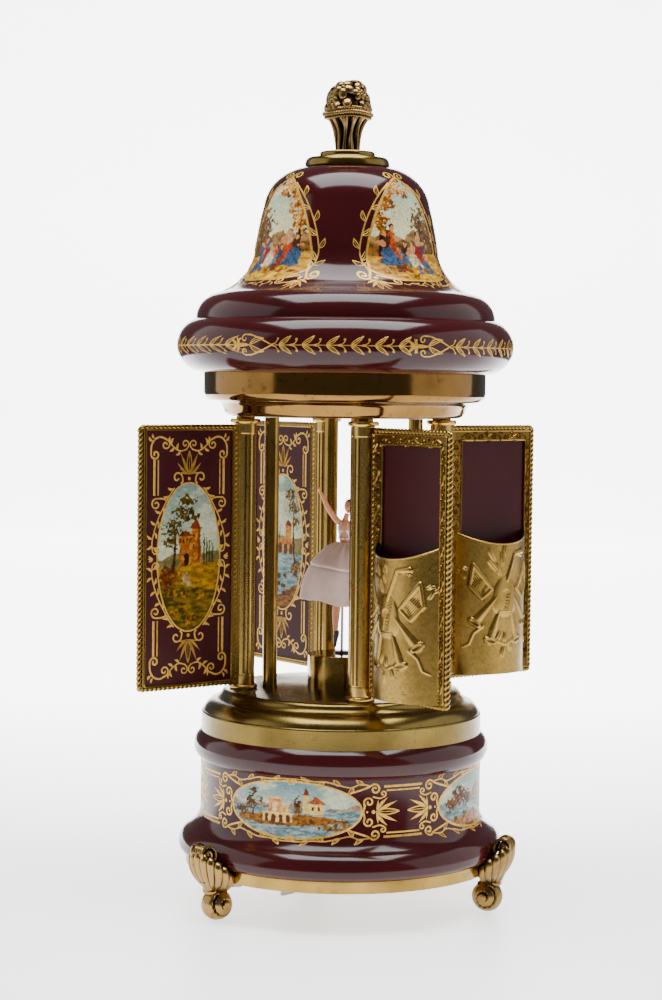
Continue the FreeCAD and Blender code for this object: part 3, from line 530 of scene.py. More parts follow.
class Gilt:
    """Gold line work drawn flat in millimetres: u across, v up."""

    def __init__(self):
        self.strips = []

    def line(self, path, width, taper=1):
        """Band along a path; taper is the width at its far end, as a share."""
        path = np.asarray(path, dtype=float)
        run = path_run(path)
        steps = np.unique(np.round(np.concatenate([run, np.arange(0, run[-1], 1.6)]), 3))
        path = np.stack([np.interp(steps, run, path[:, axis]) for axis in (0, 1)], -1)
        self.band(path, 0.5 * width * np.linspace(1, taper, len(path)))

    def band(self, path, half):
        along = np.gradient(path, axis=0)
        along /= np.linalg.norm(along, axis=1)[:, None] + 1e-9
        across = np.stack([-along[:, 1], along[:, 0]], -1) * half[:, None]
        self.strips.append(np.stack([path - across, path, path + across], 1))

    def leaf(self, base, angle, length, width, bend=0.15):
        """Pointed leaf growing from base at an angle in degrees."""
        share, path, _ = midrib(base, angle, length, bend, 8)
        self.band(path, 0.5 * width * np.sin(np.pi * np.clip(share, 0.03, 0.97)) ** 0.8)

    def dot(self, centre, radius):
        share = np.linspace(-1, 1, 9)
        path = np.stack([centre[0] + radius * share, np.full(9, centre[1])], -1)
        self.band(path, radius * np.sqrt(np.clip(1 - share ** 2, 0.0004, 1)))

    def outlined_leaf(self, base, angle, length, width, bend=0.12):
        """Leaf drawn as two curved strokes and a midrib."""
        share, middle, side = midrib(base, angle, length, bend, 9)
        swell = np.sin(np.pi * share ** 0.85)[:, None] * side * width / 2
        self.line(middle + swell, 0.42)
        self.line(middle - swell, 0.42)
        self.line(middle, 0.30, 0.3)

    def palmette(self, base, angle, length):
        """Lily: an outlined middle petal, sickle petals beside it and two short leaves below."""
        along, side = directions(angle)

        def stroke(spots, hand, steps=6):
            """Smooth stroke through (share of the length, share to one side) spots."""
            return flow([base + (a * along + b * hand * side) * length for a, b in spots], steps)

        self.line(base + np.outer((0, 0.5, 0.94), along) * length, 0.030 * length)
        for hand in (-1, 1):
            self.line(stroke([(0, 0), (0.35, 0.115), (0.72, 0.085), (1.0, 0)], hand), 0.052 * length)
            for inner, outer, tip in (((0.42, 0.15), (0.36, 0.27), (0.93, 0.44)),
                                      ((0.24, 0.27), (0.15, 0.36), (0.50, 0.60)),
                                      ((0.10, 0.24), (0.02, 0.27), (0.08, 0.50))):
                one, two = (stroke([(0, 0.03), edge, tip], hand, 8) for edge in (inner, outer))
                self.strips.append(np.stack([one, (one + two) / 2, two], 1))

    def mirrored(self, across=False, upright=False):
        """Adds the mirror image of everything drawn so far."""
        flip = np.array([-1.0 if across else 1.0, -1.0 if upright else 1.0])
        self.strips += [strip * flip for strip in self.strips]

    def add(self, other, shift=(0, 0)):
        """Copies another drawing's strokes to a new place."""
        self.strips += [strip + np.asarray(shift, dtype=float) for strip in other.strips]

    def piece(self, name, surface, body, lift=0.05, rise_by=0.07, material=GILT):
        """Mesh of the whole ornament on a surface(u, v) -> points, normals."""
        vertices = []
        faces = []
        count = 0
        for strip in self.strips:
            rows = len(strip)
            points, normals = surface(strip[..., 0].ravel(), strip[..., 1].ravel())
            rise = np.tile([lift, lift + rise_by, lift], rows)[:, None]
            vertices.append(points + normals * rise)
            faces += (grid_faces(rows, 3) + count).tolist()
            count += rows * 3
        make_piece(name, np.concatenate(vertices), faces, material, body)


# ------------------------------------------------------------ painted scenes

def rgb(red, green, blue):
    """Linear colour from 0-255 screen values."""
    return (np.array([red, green, blue], dtype=float) / 255) ** 2.2


class Canvas:
    """Little oil landscape over points (u, v) in millimetres from the middle."""

    def __init__(self, u, v, seed):
        self.seed = seed
        self.u = u + 0.9 * (smooth_noise(u + 20, v + 70, 1.3, seed + 51, 2) - 0.5)
        self.v = v + 0.9 * (smooth_noise(u + 70, v + 20, 1.3, seed + 53, 2) - 0.5)
        self.colour = np.zeros((len(u), 3))
        self.rng = np.random.default_rng(seed)

    def noise(self, scale, squash=1.0, octaves=4, shift=0):
        """Noise over the picture, 0 to 1; squash flattens its blots."""
        return smooth_noise(self.u + 90, (self.v + 90) * squash, scale, self.seed + shift, octaves)

    def lay(self, mask, first, second=None, scale=2.0, squash=1.0):
        """Paint where mask is true, mottled between two colours or even where there is one."""
        if second is None:
            self.colour[mask] = first
            return
        share = np.clip((self.noise(scale, squash, shift=int(scale * 7)) - 0.3) / 0.4, 0, 1)[:, None]
        self.colour[mask] = ((1 - share) * first + share * second)[mask]

    def sky(self, horizon, high, upper=rgb(150, 168, 168), lower=rgb(206, 212, 190),
            cloud=rgb(220, 222, 204)):
        share = np.clip((self.v - horizon) / (high - horizon), 0, 1)[:, None]
        self.colour[:] = (1 - share) * lower + share * upper
        puffs = np.clip((self.noise(11, 2.2) - 0.5) * 4, 0, 0.7)[:, None]
        self.colour[:] = (1 - puffs) * self.colour + puffs * cloud

    def ridge(self, height, rough, near, far, shift):
        """Mountains or a far wood rising to a noisy line."""
        crest = height + rough * (smooth_noise(self.u + 50, 0 * self.u, 9.0, self.seed + shift, 4) - 0.4)
        self.lay(self.v < crest, near, far, 3.0, 1.5)

    def ground(self, line, slope, near, far):
        rise = line + slope * self.u + 1.2 * (smooth_noise(self.u, 0 * self.u, 8.0, self.seed + 5, 3) - 0.5)
        self.lay(self.v < rise, near, far, 3.0, 3.2)

    def water(self, top_line, bottom_line):
        inside = (self.v < top_line) & (self.v > bottom_line)
        self.lay(inside, rgb(112, 136, 148), rgb(176, 192, 192), 3.4, 6.0)

    def box(self, u0, v0, u1, v1, first, second):
        inside = (self.u > u0) & (self.u < u1) & (self.v > v0) & (self.v < v1)
        self.lay(inside, first, second, 1.4)

    def gable(self, u0, u1, v0, v1, first, second):
        """Triangle roof."""
        middle = (u0 + u1) / 2
        half = (u1 - u0) / 2
        inside = (self.v > v0) & (self.v < v1) & (np.abs(self.u - middle) < half * (v1 - self.v) / (v1 - v0))
        self.lay(inside, first, second, 1.2)

    def arch(self, u, v0, width, height, colour):
        away = np.abs(self.u - u)
        straight = (away < width / 2) & (self.v > v0) & (self.v < v0 + height - width / 2)
        crown = np.hypot(away, self.v - (v0 + height - width / 2)) < width / 2
        self.lay(straight | crown, colour)

    def foliage(self, blots, dark, bright, lace=0.46):
        """Clumps of leaves, each a (u, v, half width, half height); lace opens gaps in them."""
        for u, v, wide, tall in blots:
            away = np.hypot((self.u - u) / wide, (self.v - v) / tall)
            clumps = self.noise(1.9, 1.3, 3, 11)
            mask = away + 1.5 * (clumps - 0.5) < 0.86
            mask &= self.noise(0.9, 1.0, 2, 3) > lace * (0.55 + 0.6 * away)
            self.lay(mask, dark, bright, 1.1)

    def scrub(self, count, across, up, wide, tall, dark, bright, lace):
        """Foliage strewn at random over a range across and a range up."""
        blots = [(self.rng.uniform(*across), self.rng.uniform(*up), wide, tall) for _ in range(count)]
        self.foliage(blots, dark, bright, lace)

    def trunk(self, u, v0, v1, wide, sway, colour=rgb(84, 60, 34)):
        share = np.clip((self.v - v0) / (v1 - v0), 0, 1)
        away = np.abs(self.u - u - sway * np.sin(share * 2.4))
        self.lay((away < wide * (1.15 - 0.7 * share)) & (self.v > v0) & (self.v < v1), colour)

    def cypresses(self, count, u, step, v0, tall, shrink):
        """Row of cypresses, each shorter than the one before."""
        green = rgb(66, 74, 44)
        for k in range(count):
            share = (self.v - v0) / (tall - shrink * k)
            half = 0.8 * np.sqrt(np.clip(share * 1.4, 0, 1)) * np.clip(1.02 - share, 0, 1) ** 0.7
            inside = (np.abs(self.u - u - step * k) < half) & (share > 0) & (share < 1)
            self.lay(inside, green, green * 1.8, 0.9)

    def rocks(self, count, u0, u1, v0, v1, size):
        for _ in range(count):
            u, v = self.rng.uniform(u0, u1), self.rng.uniform(v0, v1)
            shade = self.rng.uniform(0.5, 1.2)
            away = np.hypot((self.u - u) / 1.6, self.v - v)
            limit = size * self.rng.uniform(0.5, 1.0)
            self.lay(away < limit, rgb(132, 92, 60) * shade, rgb(88, 74, 50) * shade, 0.8)

    def person(self, u, v, tall, dress, coat, facing):
        """Tiny faceless figure in loose brushwork: wide skirt, bodice, head and hair."""
        across = (self.u - u + 2.2 * (self.noise(2.2, 1.0, 2, 23) - 0.5)) / tall
        up = (self.v - v + 2.2 * (self.noise(2.2, 1.0, 2, 37) - 0.5)) / tall
        down = np.clip(1 - up / 0.62, 0, 1)
        skirt = (np.abs(across + 0.10 * facing * down) < 0.07 + 0.30 * down) & (up > 0) & (up < 0.62)
        self.lay(skirt, dress * 0.45, dress, 0.8)
        self.lay(np.hypot(across / 0.13, (up - 0.68) / 0.17) < 1, coat * 0.6, coat, 0.7)
        self.lay(np.hypot(across - 0.18 * facing, (up - 0.62) * 1.8) < 0.13, rgb(210, 160, 124))
        self.lay(np.hypot(across - 0.02, up - 0.90) < 0.085, rgb(108, 76, 50))
        self.lay(np.hypot(across - 0.03 * facing, up - 0.86) < 0.070, rgb(218, 170, 134))


def castle_scene(canvas):
    """Tall oval: orange castle on a hill, a big tree and cypresses."""
    canvas.sky(-4, 30)
    canvas.ridge(0.5, 5, rgb(120, 116, 84), rgb(150, 140, 104), 3)
    side = 1 if canvas.seed % 2 else -1
    canvas.cypresses(4, side * 8, side * 1.5, -3.5, 14, 1.4)
    wall = rgb(206, 156, 92)
    shade = rgb(150, 100, 58)
    red = rgb(150, 86, 58)
    canvas.box(-5, -4, 6.6, 5, wall, shade)
    canvas.box(1.4, -2, 6.0, 13, wall, shade)
    canvas.box(4.6, -2, 6.2, 13, shade, shade * 0.8)
    canvas.gable(0.6, 7.0, 12.6, 17, red, red * 0.7)
    canvas.box(-5.6, 5, 2.2, 9.6, wall * 0.95, shade)
    canvas.gable(-6.2, 2.8, 9.2, 12.0, red, red * 0.7)
    for k in range(4):
        canvas.arch(-4.6 + 1.8 * k, 6.2, 0.8, 1.9, rgb(96, 50, 30))
    for level in (4.0, 8.6):
        canvas.arch(2.7, level, 0.7, 1.6, rgb(90, 48, 30))
    canvas.arch(-1.2, -4.5, 2.6, 6.4, rgb(70, 48, 40))
    canvas.ground(-4.0, 0.10, rgb(132, 108, 36), rgb(190, 156, 62))
    canvas.ground(-13.0, -0.16, rgb(84, 78, 28), rgb(150, 128, 52))
    path = (canvas.v < -6) & (canvas.v > -13) & (np.abs(canvas.u + 5 + 0.4 * canvas.v) < 2.0)
    canvas.lay(path, rgb(196, 186, 150), rgb(150, 120, 70))
    canvas.foliage([(-11, -9, 5.0, 6.0)], rgb(92, 56, 26), rgb(146, 92, 40), 0.35)
    canvas.trunk(-8.4, -7, 14, 0.75, 1.3)
    crown = ((-8, 13, 7, 5), (-3, 19, 6.5, 4.6), (-1, 25, 5, 3.6), (3.4, 17.5, 3.2, 2),
             (-10, 7, 4.5, 3.4))
    canvas.foliage(crown, rgb(62, 54, 24), rgb(126, 108, 52))
    canvas.scrub(9, (-9, 9), (-29, -16), 3.4, 1.6, rgb(84, 66, 22), rgb(186, 150, 62), 0.42)


def river_scene(canvas):
    """Tall oval: river under a bridge with arches and cypresses behind."""
    canvas.sky(-2, 30)
    canvas.ridge(2.5, 6, rgb(128, 128, 96), rgb(164, 152, 116), 4)
    canvas.cypresses(5, -9, 1.7, -1, 15, 1.5)
    cream = rgb(214, 178, 110)
    canvas.box(-13, -5.5, 10, 1.6, cream, rgb(170, 120, 66))
    canvas.box(2.4, -4, 7.4, 8.4, cream, rgb(176, 124, 78))
    canvas.gable(1.8, 8.0, 8.2, 11.4, rgb(160, 94, 62), rgb(120, 70, 48))
    for k in range(5):
        canvas.arch(-10.6 + 4.4 * k, -5.6, 3.0, 5.0, rgb(104, 86, 70))
    canvas.water(-5.4, -34)
    canvas.ground(-25.0, 0.42, rgb(96, 74, 30), rgb(170, 128, 62))
    canvas.rocks(16, -12, 3, -27, -12, 1.8)
    canvas.trunk(10.2, -12, 16, 0.7, -1.4)
    trees = ((9, 17, 6, 5), (6, 23, 5, 4), (11, 10, 4, 4), (-10, 22, 4, 3))
    canvas.foliage(trees, rgb(74, 62, 26), rgb(150, 122, 56))
    canvas.foliage([(11, -12, 4, 5)], rgb(86, 66, 26), rgb(160, 124, 56), 0.4)


def lake_scene(canvas):
    """Wide oval: lake with an arcaded villa, a tower house and far mountains."""
    canvas.sky(-1, 12, rgb(138, 168, 180), rgb(196, 206, 198))
    canvas.ridge(1.8, 6, rgb(150, 132, 130), rgb(190, 168, 156), 2)
    canvas.ridge(0.2, 2, rgb(110, 110, 92), rgb(150, 138, 110), 6)
    canvas.water(0.4, -13)
    island = 2.6 * np.sqrt(np.clip(1 - ((canvas.u + 3) / 24) ** 2, 0, 1))
    on_island = np.abs(canvas.v + 4.4 - 0.02 * canvas.u) < island
    canvas.lay(on_island, rgb(118, 84, 36), rgb(178, 136, 66), 2.0, 3.0)
    cream = rgb(232, 214, 160)
    canvas.box(-13.4, -5.4, 0.6, -1.4, cream, cream * 0.8)
    for k in range(4):
        canvas.arch(-11.6 + 3.4 * k, -5.4, 2.0, 3.2, rgb(116, 70, 40))
    canvas.box(-10.6, -1.4, -4.4, 4.6, rgb(196, 138, 104), rgb(220, 178, 134))
    canvas.box(-11.0, 4.2, -4.0, 5.0, rgb(236, 200, 150), None)
    canvas.arch(-7.5, -1.2, 2.4, 4.4, rgb(232, 214, 170))
    canvas.box(-4.4, -1.4, -1.0, 2.0, rgb(206, 150, 104), cream)
    canvas.box(5.4, -1.0, 8.0, 6.8, cream, cream * 0.75)
    canvas.gable(5.0, 8.4, 6.8, 10.2, rgb(164, 104, 72), rgb(130, 78, 54))
    canvas.box(8.0, -1.4, 14.6, 3.6, cream, rgb(224, 190, 130))
    canvas.gable(7.0, 15.6, 3.2, 6.4, rgb(180, 120, 84), rgb(150, 96, 66))
    for u in (9.6, 12.6):
        canvas.arch(u, 0.2, 1.0, 1.9, rgb(110, 76, 50))
    trees = ((-19, 2.2, 4.6, 4.0), (-19, 6.4, 2.8, 2.2), (3.0, 1.6, 2.4, 4.4), (-24, -2, 5, 2))
    canvas.foliage(trees, rgb(66, 58, 28), rgb(134, 104, 52), 0.4)
    canvas.trunk(-18.8, -4, 3, 0.4, 0.2)
    canvas.scrub(12, (-2, 24), (-8, -4), 2.8, 1.3, rgb(96, 70, 32), rgb(180, 140, 70), 0.4)


def mill_scene(canvas):
    """Wide oval: wooded bank, a pale path and a peak over the water."""
    canvas.sky(-1, 12, rgb(150, 176, 184), rgb(206, 212, 196))
    peak = 8.4 - 0.62 * np.abs(canvas.u - 3)
    canvas.lay(canvas.v < peak - 1.5 * canvas.noise(2.0), rgb(150, 120, 110), rgb(196, 164, 146), 1.6)
    canvas.ridge(0.2, 3, rgb(120, 112, 84), rgb(168, 146, 104), 6)
    canvas.water(0.2, -13)
    canvas.ground(-5.0, 0.12, rgb(140, 96, 44), rgb(196, 150, 80))
    path = (np.abs(canvas.v + 5 + 0.25 * canvas.u) < 1.1) & (canvas.u > -8)
    canvas.lay(path, rgb(206, 206, 196), rgb(160, 170, 176))
    canvas.box(12, -2, 18, 3.4, rgb(230, 206, 150), rgb(196, 150, 96))
    canvas.gable(11.2, 18.8, 3.2, 6.2, rgb(176, 108, 72), rgb(140, 84, 56))
    trees = ((-16, 3, 7, 5), (-9, 1, 5, 3.6), (-22, 0, 5, 4), (22, 1, 4, 3))
    canvas.foliage(trees, rgb(74, 56, 26), rgb(150, 108, 48), 0.36)
    canvas.rocks(12, -20, 10, -9, -5, 1.0)


def garden_scene(canvas):
    """Egg-shaped: a small party in a park under an autumn tree."""
    canvas.sky(-6, 26, rgb(164, 188, 190), rgb(240, 232, 194), rgb(226, 230, 208))
    side = 1 if canvas.seed % 2 else -1
    canvas.ridge(-2, 12, rgb(136, 112, 88), rgb(186, 158, 118), 2)
    canvas.ridge(-7, 9, rgb(112, 90, 66), rgb(172, 132, 84), 5)
    wood = [(-13 * side, 2, 10, 12), (-17 * side, -6, 8, 9), (-8 * side, -3, 5, 5)]
    canvas.foliage(wood, rgb(88, 76, 60), rgb(152, 122, 86), 0.26)
    canvas.trunk(15 * side, -14, 18, 1.0, -2.0 * side, rgb(70, 48, 30))
    for u, v, wide, tall in ((3, 27, 7, 5), (7, 21, 9, 6), (11, 14, 8, 7), (14, 6, 6, 8), (1, 19, 5, 3),
                             (-5, 25, 4, 3)):
        canvas.foliage([(u * side, v, wide, tall)], rgb(160, 104, 42), rgb(232, 184, 98), 0.47)
        shaded = (u * side + 2, v - 1.5, wide * 0.6, tall * 0.6)
        canvas.foliage([shaded], rgb(112, 78, 40), rgb(176, 128, 66), 0.5)
    canvas.ground(-9, 0.06, rgb(172, 134, 62), rgb(226, 190, 104))
    dresses = (rgb(104, 132, 168), rgb(184, 70, 44), rgb(238, 230, 204), rgb(130, 156, 186),
               rgb(154, 104, 74), rgb(206, 112, 66))
    coats = (rgb(196, 150, 110), rgb(112, 128, 160), rgb(212, 116, 52), rgb(222, 190, 156),
             rgb(112, 74, 54), rgb(90, 106, 140))
    for k in range(7):
        u = -9 + 3.4 * k + canvas.rng.uniform(-1, 1)
        coat = coats[int(canvas.rng.integers(0, len(coats)))]
        tall = canvas.rng.uniform(11, 17)
        depth = 5.5 * ((k * 3) % 4) / 3
        canvas.person(u * side, depth - 18, tall, dresses[k % len(dresses)], coat, -side if k % 2 else side)
    canvas.ground(-18.5, 0.04 * side, rgb(184, 150, 56), rgb(236, 206, 110))
    canvas.scrub(14, (-22, 22), (-23, -15), 3.2, 1.3, rgb(104, 78, 26), rgb(214, 170, 70), 0.38)


PAINT_STEP = 0.34


def painted_tone(canvas):
    """Old print: deeper tones, warmer lights and a fine dabbed brushwork."""
    colour = np.clip(canvas.colour, 0, 1)
    dabs = smooth_noise(canvas.u + 40, (canvas.v + 40) * 1.4, 0.75, canvas.seed + 31, 3)[:, None]
    colour = colour * (0.74 + 0.52 * dabs)
    grey = colour.mean(axis=1, keepdims=True)
    colour = np.clip(grey + 1.10 * (colour - grey), 0, 1)
    return 0.90 * colour ** 1.45 * np.array([1.0, 0.96, 0.84])


def painted_piece(name, surface, half_width, low_v, high_v, painter, seed, body, middle_v=0.0):
    """Painted patch, its width given at each height; middle_v is the height the scene is drawn about."""
    rows = int((high_v - low_v) / PAINT_STEP)
    v = np.linspace(low_v + 0.02, high_v - 0.02, rows)
    half = half_width(v)
    columns = int(2 * half.max() / PAINT_STEP)
    s = np.linspace(-1, 1, columns)
    u = (half[:, None] * s[None, :]).ravel()
    v = np.repeat(v, columns)
    canvas = Canvas(u, v - middle_v, seed)
    painter(canvas)
    points, normals = surface(u, v)
    made = make_piece(name, points + normals * 0.04, grid_faces(rows, columns), PAINT, body,
                      colours=painted_tone(canvas))


def oval(half_width, half_height):
    """Half width of an oval at each height from its middle."""
    return lambda v: half_width * np.sqrt(np.clip(1 - (v / half_height) ** 2, 0.0001, 1))


def oval_line(half_width, half_height, count):
    """Outline of that oval."""
    around = np.linspace(0, TAU, count)
    return np.stack([half_width * np.cos(around), half_height * np.sin(around)], -1)


# ------------------------------------------------------------ turned case

class Profile:
    """Outer line of a turned body, read by the distance run along it."""

    def __init__(self, points):
        self.points = points
        self.run = path_run(points)

    def run_at(self, height):
        """Distance along the line where it first rises past a height."""
        i = int(np.argmax(self.points[:, 1] >= height))
        before, after = self.points[i - 1, 1], self.points[i, 1]
        share = (height - before) / max(1e-9, after - before)
        return self.run[i - 1] + share * (self.run[i] - self.run[i - 1])

    def spot(self, along):
        """Radius and height at distances along the line."""
        return np.stack([np.interp(along, self.run, self.points[:, axis]) for axis in (0, 1)])

    def surface(self, angle, height):
        """Maps (u, v) around a middle at this angle and height onto the turned surface."""
        start = self.run_at(height)

        def at(u, v):
            along = start + np.asarray(v, dtype=float)
            radius, z = self.spot(along)
            slope_r, slope_z = self.spot(along + 0.4) - self.spot(along - 0.4)
            size = np.hypot(slope_r, slope_z) + 1e-9
            turn = math.radians(angle) + np.asarray(u) / radius
            out_r, out_z = slope_z / size, -slope_r / size
            points = np.stack([radius * np.cos(turn), radius * np.sin(turn), z], -1)
            normals = np.stack([out_r * np.cos(turn), out_r * np.sin(turn), out_z], -1)
            return points, normals

        return at


WALL = 1.8

BASE_OUTER = bent_outline([
    (RING_R - 1.5, RING_HIGH), (RING_R + 0.6, RING_HIGH), (BULGE_R, RING_HIGH + 3, 3.4),
    (RING_R - 0.8, RING_HIGH + 11, 8.5), (WAIST_R, RING_HIGH + 18, -12), (WAIST_R, BAND_LOW - 12.7),
    (WAIST_R, BAND_LOW, 7.76)])
BASE_INNER = bent_outline([
    (WAIST_R - 3, BAND_LOW), (WAIST_R - 3, RING_HIGH + 17), (RING_R - 3, RING_HIGH + 8),
    (RING_R - 1.5, RING_HIGH + 4)])
BAND_HIGH = BAND_LOW + 9.1
CAP = bent_outline([
    (BAND_R - 1.5, BAND_LOW), (BAND_R, BAND_LOW), (BAND_R, BAND_HIGH - 1), (BAND_R - 0.7, BAND_HIGH, 0.9),
    (56.8, BAND_HIGH + 5.4, 9), (54.2, DECK - 1.9, -5), (52, DECK, 3.2), (0.01, DECK),
    (0.01, DECK - 1.5), (51, DECK - 1.5), (52.9, DECK - 2.8, -3), (55.8, BAND_HIGH + 4, 5),
    (BAND_R - 2.3, BAND_HIGH, -9), (BAND_R - 1.5, BAND_HIGH - 1.8)])
TRAY = bent_outline([
    (0.01, RING_LOW), (RING_R - 0.5, RING_LOW), (RING_R, RING_LOW + 0.5, 0.5), (RING_R, RING_HIGH - 0.4),
    (RING_R - 0.4, RING_HIGH, 0.4), (RING_R - 1.5, RING_HIGH), (RING_R - 1.5, RING_LOW + 2),
    (0.01, RING_LOW + 2)], steps=5)
DRUM_R = reach("dancer_drum")
DRUM = bent_outline([
    (DRUM_R - 0.8, DECK), (DRUM_R, DECK), (DRUM_R, DRUM_HIGH - 0.6), (DRUM_R - 0.6, DRUM_HIGH, 0.6),
    (1.8, DRUM_HIGH), (1.8, DRUM_HIGH - 0.8), (DRUM_R - 0.8, DRUM_HIGH - 0.8)])
DISH = bent_outline([
    (8, CEILING), (DISH_R - 12.1, CEILING), (DISH_R - 9.3, CEILING + 2.2, 2.9), (DISH_R - 8.4, CEILING + 4.6),
    (DISH_R - 5.6, CEILING + 6.6, -3), (DISH_R - 2.4, CEILING + 7.1), (DISH_R, CEILING + 11, 4.6),
    (DISH_R, DOME_LOW), (DISH_R - 1.6, DOME_LOW), (DISH_R - 1.6, CEILING + 11.6),
    (DISH_R - 3.6, CEILING + 8.7, -4), (DISH_R - 8, CEILING + 7), (DISH_R - 10.2, CEILING + 3.6),
    (DISH_R - 12.4, CEILING + 1.5), (8, CEILING + 1.5)])
CREASE = DOME_LOW + 24.1
DOME_OUTER = bent_outline([
    (DISH_R - 1.8, DOME_LOW), (DISH_R, DOME_LOW), (DISH_R + 3.7, CREASE, 12.4),
    (DISH_R - 6.1, CREASE + 11.7, 12), (DISH_R - 22.1, CREASE + 28.6, -24),
    (DISH_R - 26.4, DOME_HIGH - 16.7, 150), (19, DOME_HIGH, 20),
    (4, DOME_HIGH)], steps=24)
DOME_INNER = bent_outline([
    (4, DOME_HIGH - WALL), (18.4, DOME_HIGH - WALL), (DISH_R - 28.2, DOME_HIGH - 17.2, -18.2),
    (DISH_R - 23.9, CREASE + 27.8, -150), (DISH_R - 6.9, CREASE + 9.9, 25.8),
    (DISH_R + 2.2, CREASE - 1.2, -10.2), (DISH_R, DOME_LOW + WALL, -11), (DISH_R - 3.2, DOME_LOW + WALL),
    (DISH_R - 3.2, DOME_LOW)])
SEAT = bent_outline([
    (2.6, DOME_HIGH), (18.1, DOME_HIGH), (18.9, DOME_HIGH + 1.2, 1.4), (17.6, DOME_HIGH + 4.5, 3.4),
    (13.2, DOME_HIGH + 4.7), (12.3, DOME_HIGH + 5.6, -1), (11.9, SEAT_HIGH, 1.6), (2.6, SEAT_HIGH)])


def case_pieces():
    """The turned shells of base, deck, dish and dome in place of the CAD solids."""
    for name, outline, material, node, slot in (
            ("base_shell", np.vstack([BASE_OUTER, BASE_INNER]), LACQUER, "base_body", "lacquer"),
            ("deck_cap", CAP, SATIN_BRASS, "base_top_plate", "antique_brass"),
            ("base_tray", TRAY, BRASS, "bottom_plate", "brass"),
            ("drum_cup", DRUM, BRASS, "dancer_drum", "brass"),
            ("bronze_dish", DISH, BRONZE, "top_plate", "bronze_tone"),
            ("dome_shell", np.vstack([DOME_OUTER, DOME_INNER]), LACQUER, "dome", "lacquer"),
            ("stepped_seat", SEAT, SATIN_BRASS, "finial_seat", "brass")):
        made = turned_piece(name, outline, material, segments=256 if outline[:, 0].max() > 40 else 96)
        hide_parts(node)


def column_brass(number):
    """Brass of a fluted column, with painted shade in the flutes around its own axis."""
    turn = math.radians(COLUMN_ANGLES[number])
    axis = (COLUMN_RING * MM * math.cos(turn), COLUMN_RING * MM * math.sin(turn))
    return brass_material(f"door_{number}_column_brass", (0.56, 0.37, 0.105), (0.33, 0.20, 0.05),
                          (0.20, 0.34), painted_shade=(0.060, 0.034, 0.009), axis=axis)


def finish_nodes():
    """Procedural finish for the CAD nodes that stay in view."""
    finishes = [
        (BRASS, ("rod_nuts", "shaft_bush", "sun_gear", "dancer_wheel", "train_plates", "spring_barrel",
                 "tune_cylinder", "second_wheel")),
        (BRASS, [f"rod_{k}" for k in range(1, 5)]),
        (BRASS, [f"door_{number}_pinion" for number in COLUMN_ANGLES]),
        (STEEL, ("base_screws", "seat_nut", "finial_shaft", "dancer_spindle", "comb", "comb_screws",
                 "mainspring", "winding_arbor", "winding_key", "fly")),
        (DARK, ("spindle_bush",)),
        (ALLOY, ("bedplate", "comb_block")),
    ]
    finishes += [(column_brass(number), (f"door_{number}_column",)) for number in COLUMN_ANGLES]
    finishes += [(PANEL_LACQUER, (f"door_{number}_panel",)) for number in COLUMN_ANGLES]
    for material, names in finishes:
        for name in names:
            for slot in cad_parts[name].material_slots:
                slot.material = material


# ------------------------------------------------------------ doors

PANEL_MIDDLE = (31.55, (DOOR_LOW + DOOR_HIGH) / 2)
PANEL_OVAL = (16.5, 32.75)
PANEL_FACE = 2.2
WINDOW = (13.25, 51.4, DOOR_LOW + 8, DOOR_HIGH - 7.5)
REBATE = (8.9, 54.2, DOOR_LOW + 2.5, DOOR_HIGH - 2.5)
ROPE_R = 1.35


def door_place(number, points):
    """Moves points from a door's own axes (x along it, +y painted side) to its rest place."""
    angle = COLUMN_ANGLES[number]
    spot = np.array([math.cos(math.radians(angle)), math.sin(math.radians(angle)), 0]) * COLUMN_RING
    return turn_z(points, angle + DOOR_OPEN_TURN) + spot


def door_face(number, level, side):
    """Flat face of a door; u runs to the viewer's right as seen from that side."""
    def at(u, v):
        x = PANEL_MIDDLE[0] - side * np.asarray(u)
        points = np.stack([x, np.full(len(x), level), PANEL_MIDDLE[1] + np.asarray(v)], -1)
        normals = np.tile([0.0, side, 0.0], (len(x), 1))
        turned = turn_z(normals, COLUMN_ANGLES[number] + DOOR_OPEN_TURN)
        return door_place(number, points), turned

    return at


def rope(path, radius, pitch):
    """Closed two-strand cord of cast metal along a path."""
    angles = ring_angles(14)[None, :]
    twist = (TAU * path_run(path) / pitch)[:, None]
    lobes = 0.62 + 0.38 * np.abs(np.cos(angles - twist))
    return swept(path, radius * lobes, True)


def ring_slab(outer, window, y0, y1):
    """Flat rectangular ring between two levels; outer and window are (x0, x1, z0, z1)."""
    points = []
    for x0, x1, z0, z1 in (outer, window):
        for y in (y0, y1):
            points += [(x0, y, z0), (x1, y, z0), (x1, y, z1), (x0, y, z1)]
    faces = []
    for i in range(4):
        j = (i + 1) % 4
        faces += [(i, j, 8 + j, 8 + i), (4 + i, 12 + i, 12 + j, 4 + j),
                  (i, 4 + i, 4 + j, j), (8 + i, 8 + j, 12 + j, 12 + i)]
    return points, faces


def rectangle_path(x0, x1, z0, z1, y, step=0.3, round_r=1.2):
    """Closed rounded rectangle in the plane of a door, with points at even steps."""
    corners = [(x1 - round_r, z0 + round_r, -90), (x1 - round_r, z1 - round_r, 0),
               (x0 + round_r, z1 - round_r, 90), (x0 + round_r, z0 + round_r, 180)]
    outline = []
    for x, z, start in corners:
        for a in np.radians(np.linspace(start, start + 90, 5)):
            outline.append((x + round_r * math.cos(a), y, z + round_r * math.sin(a)))
    outline.append(outline[0])
    outline = np.array(outline)
    run = path_run(outline)
    at = np.arange(0, run[-1] - step / 2, step)
    return np.stack([np.interp(at, run, outline[:, k]) for k in range(3)], -1)


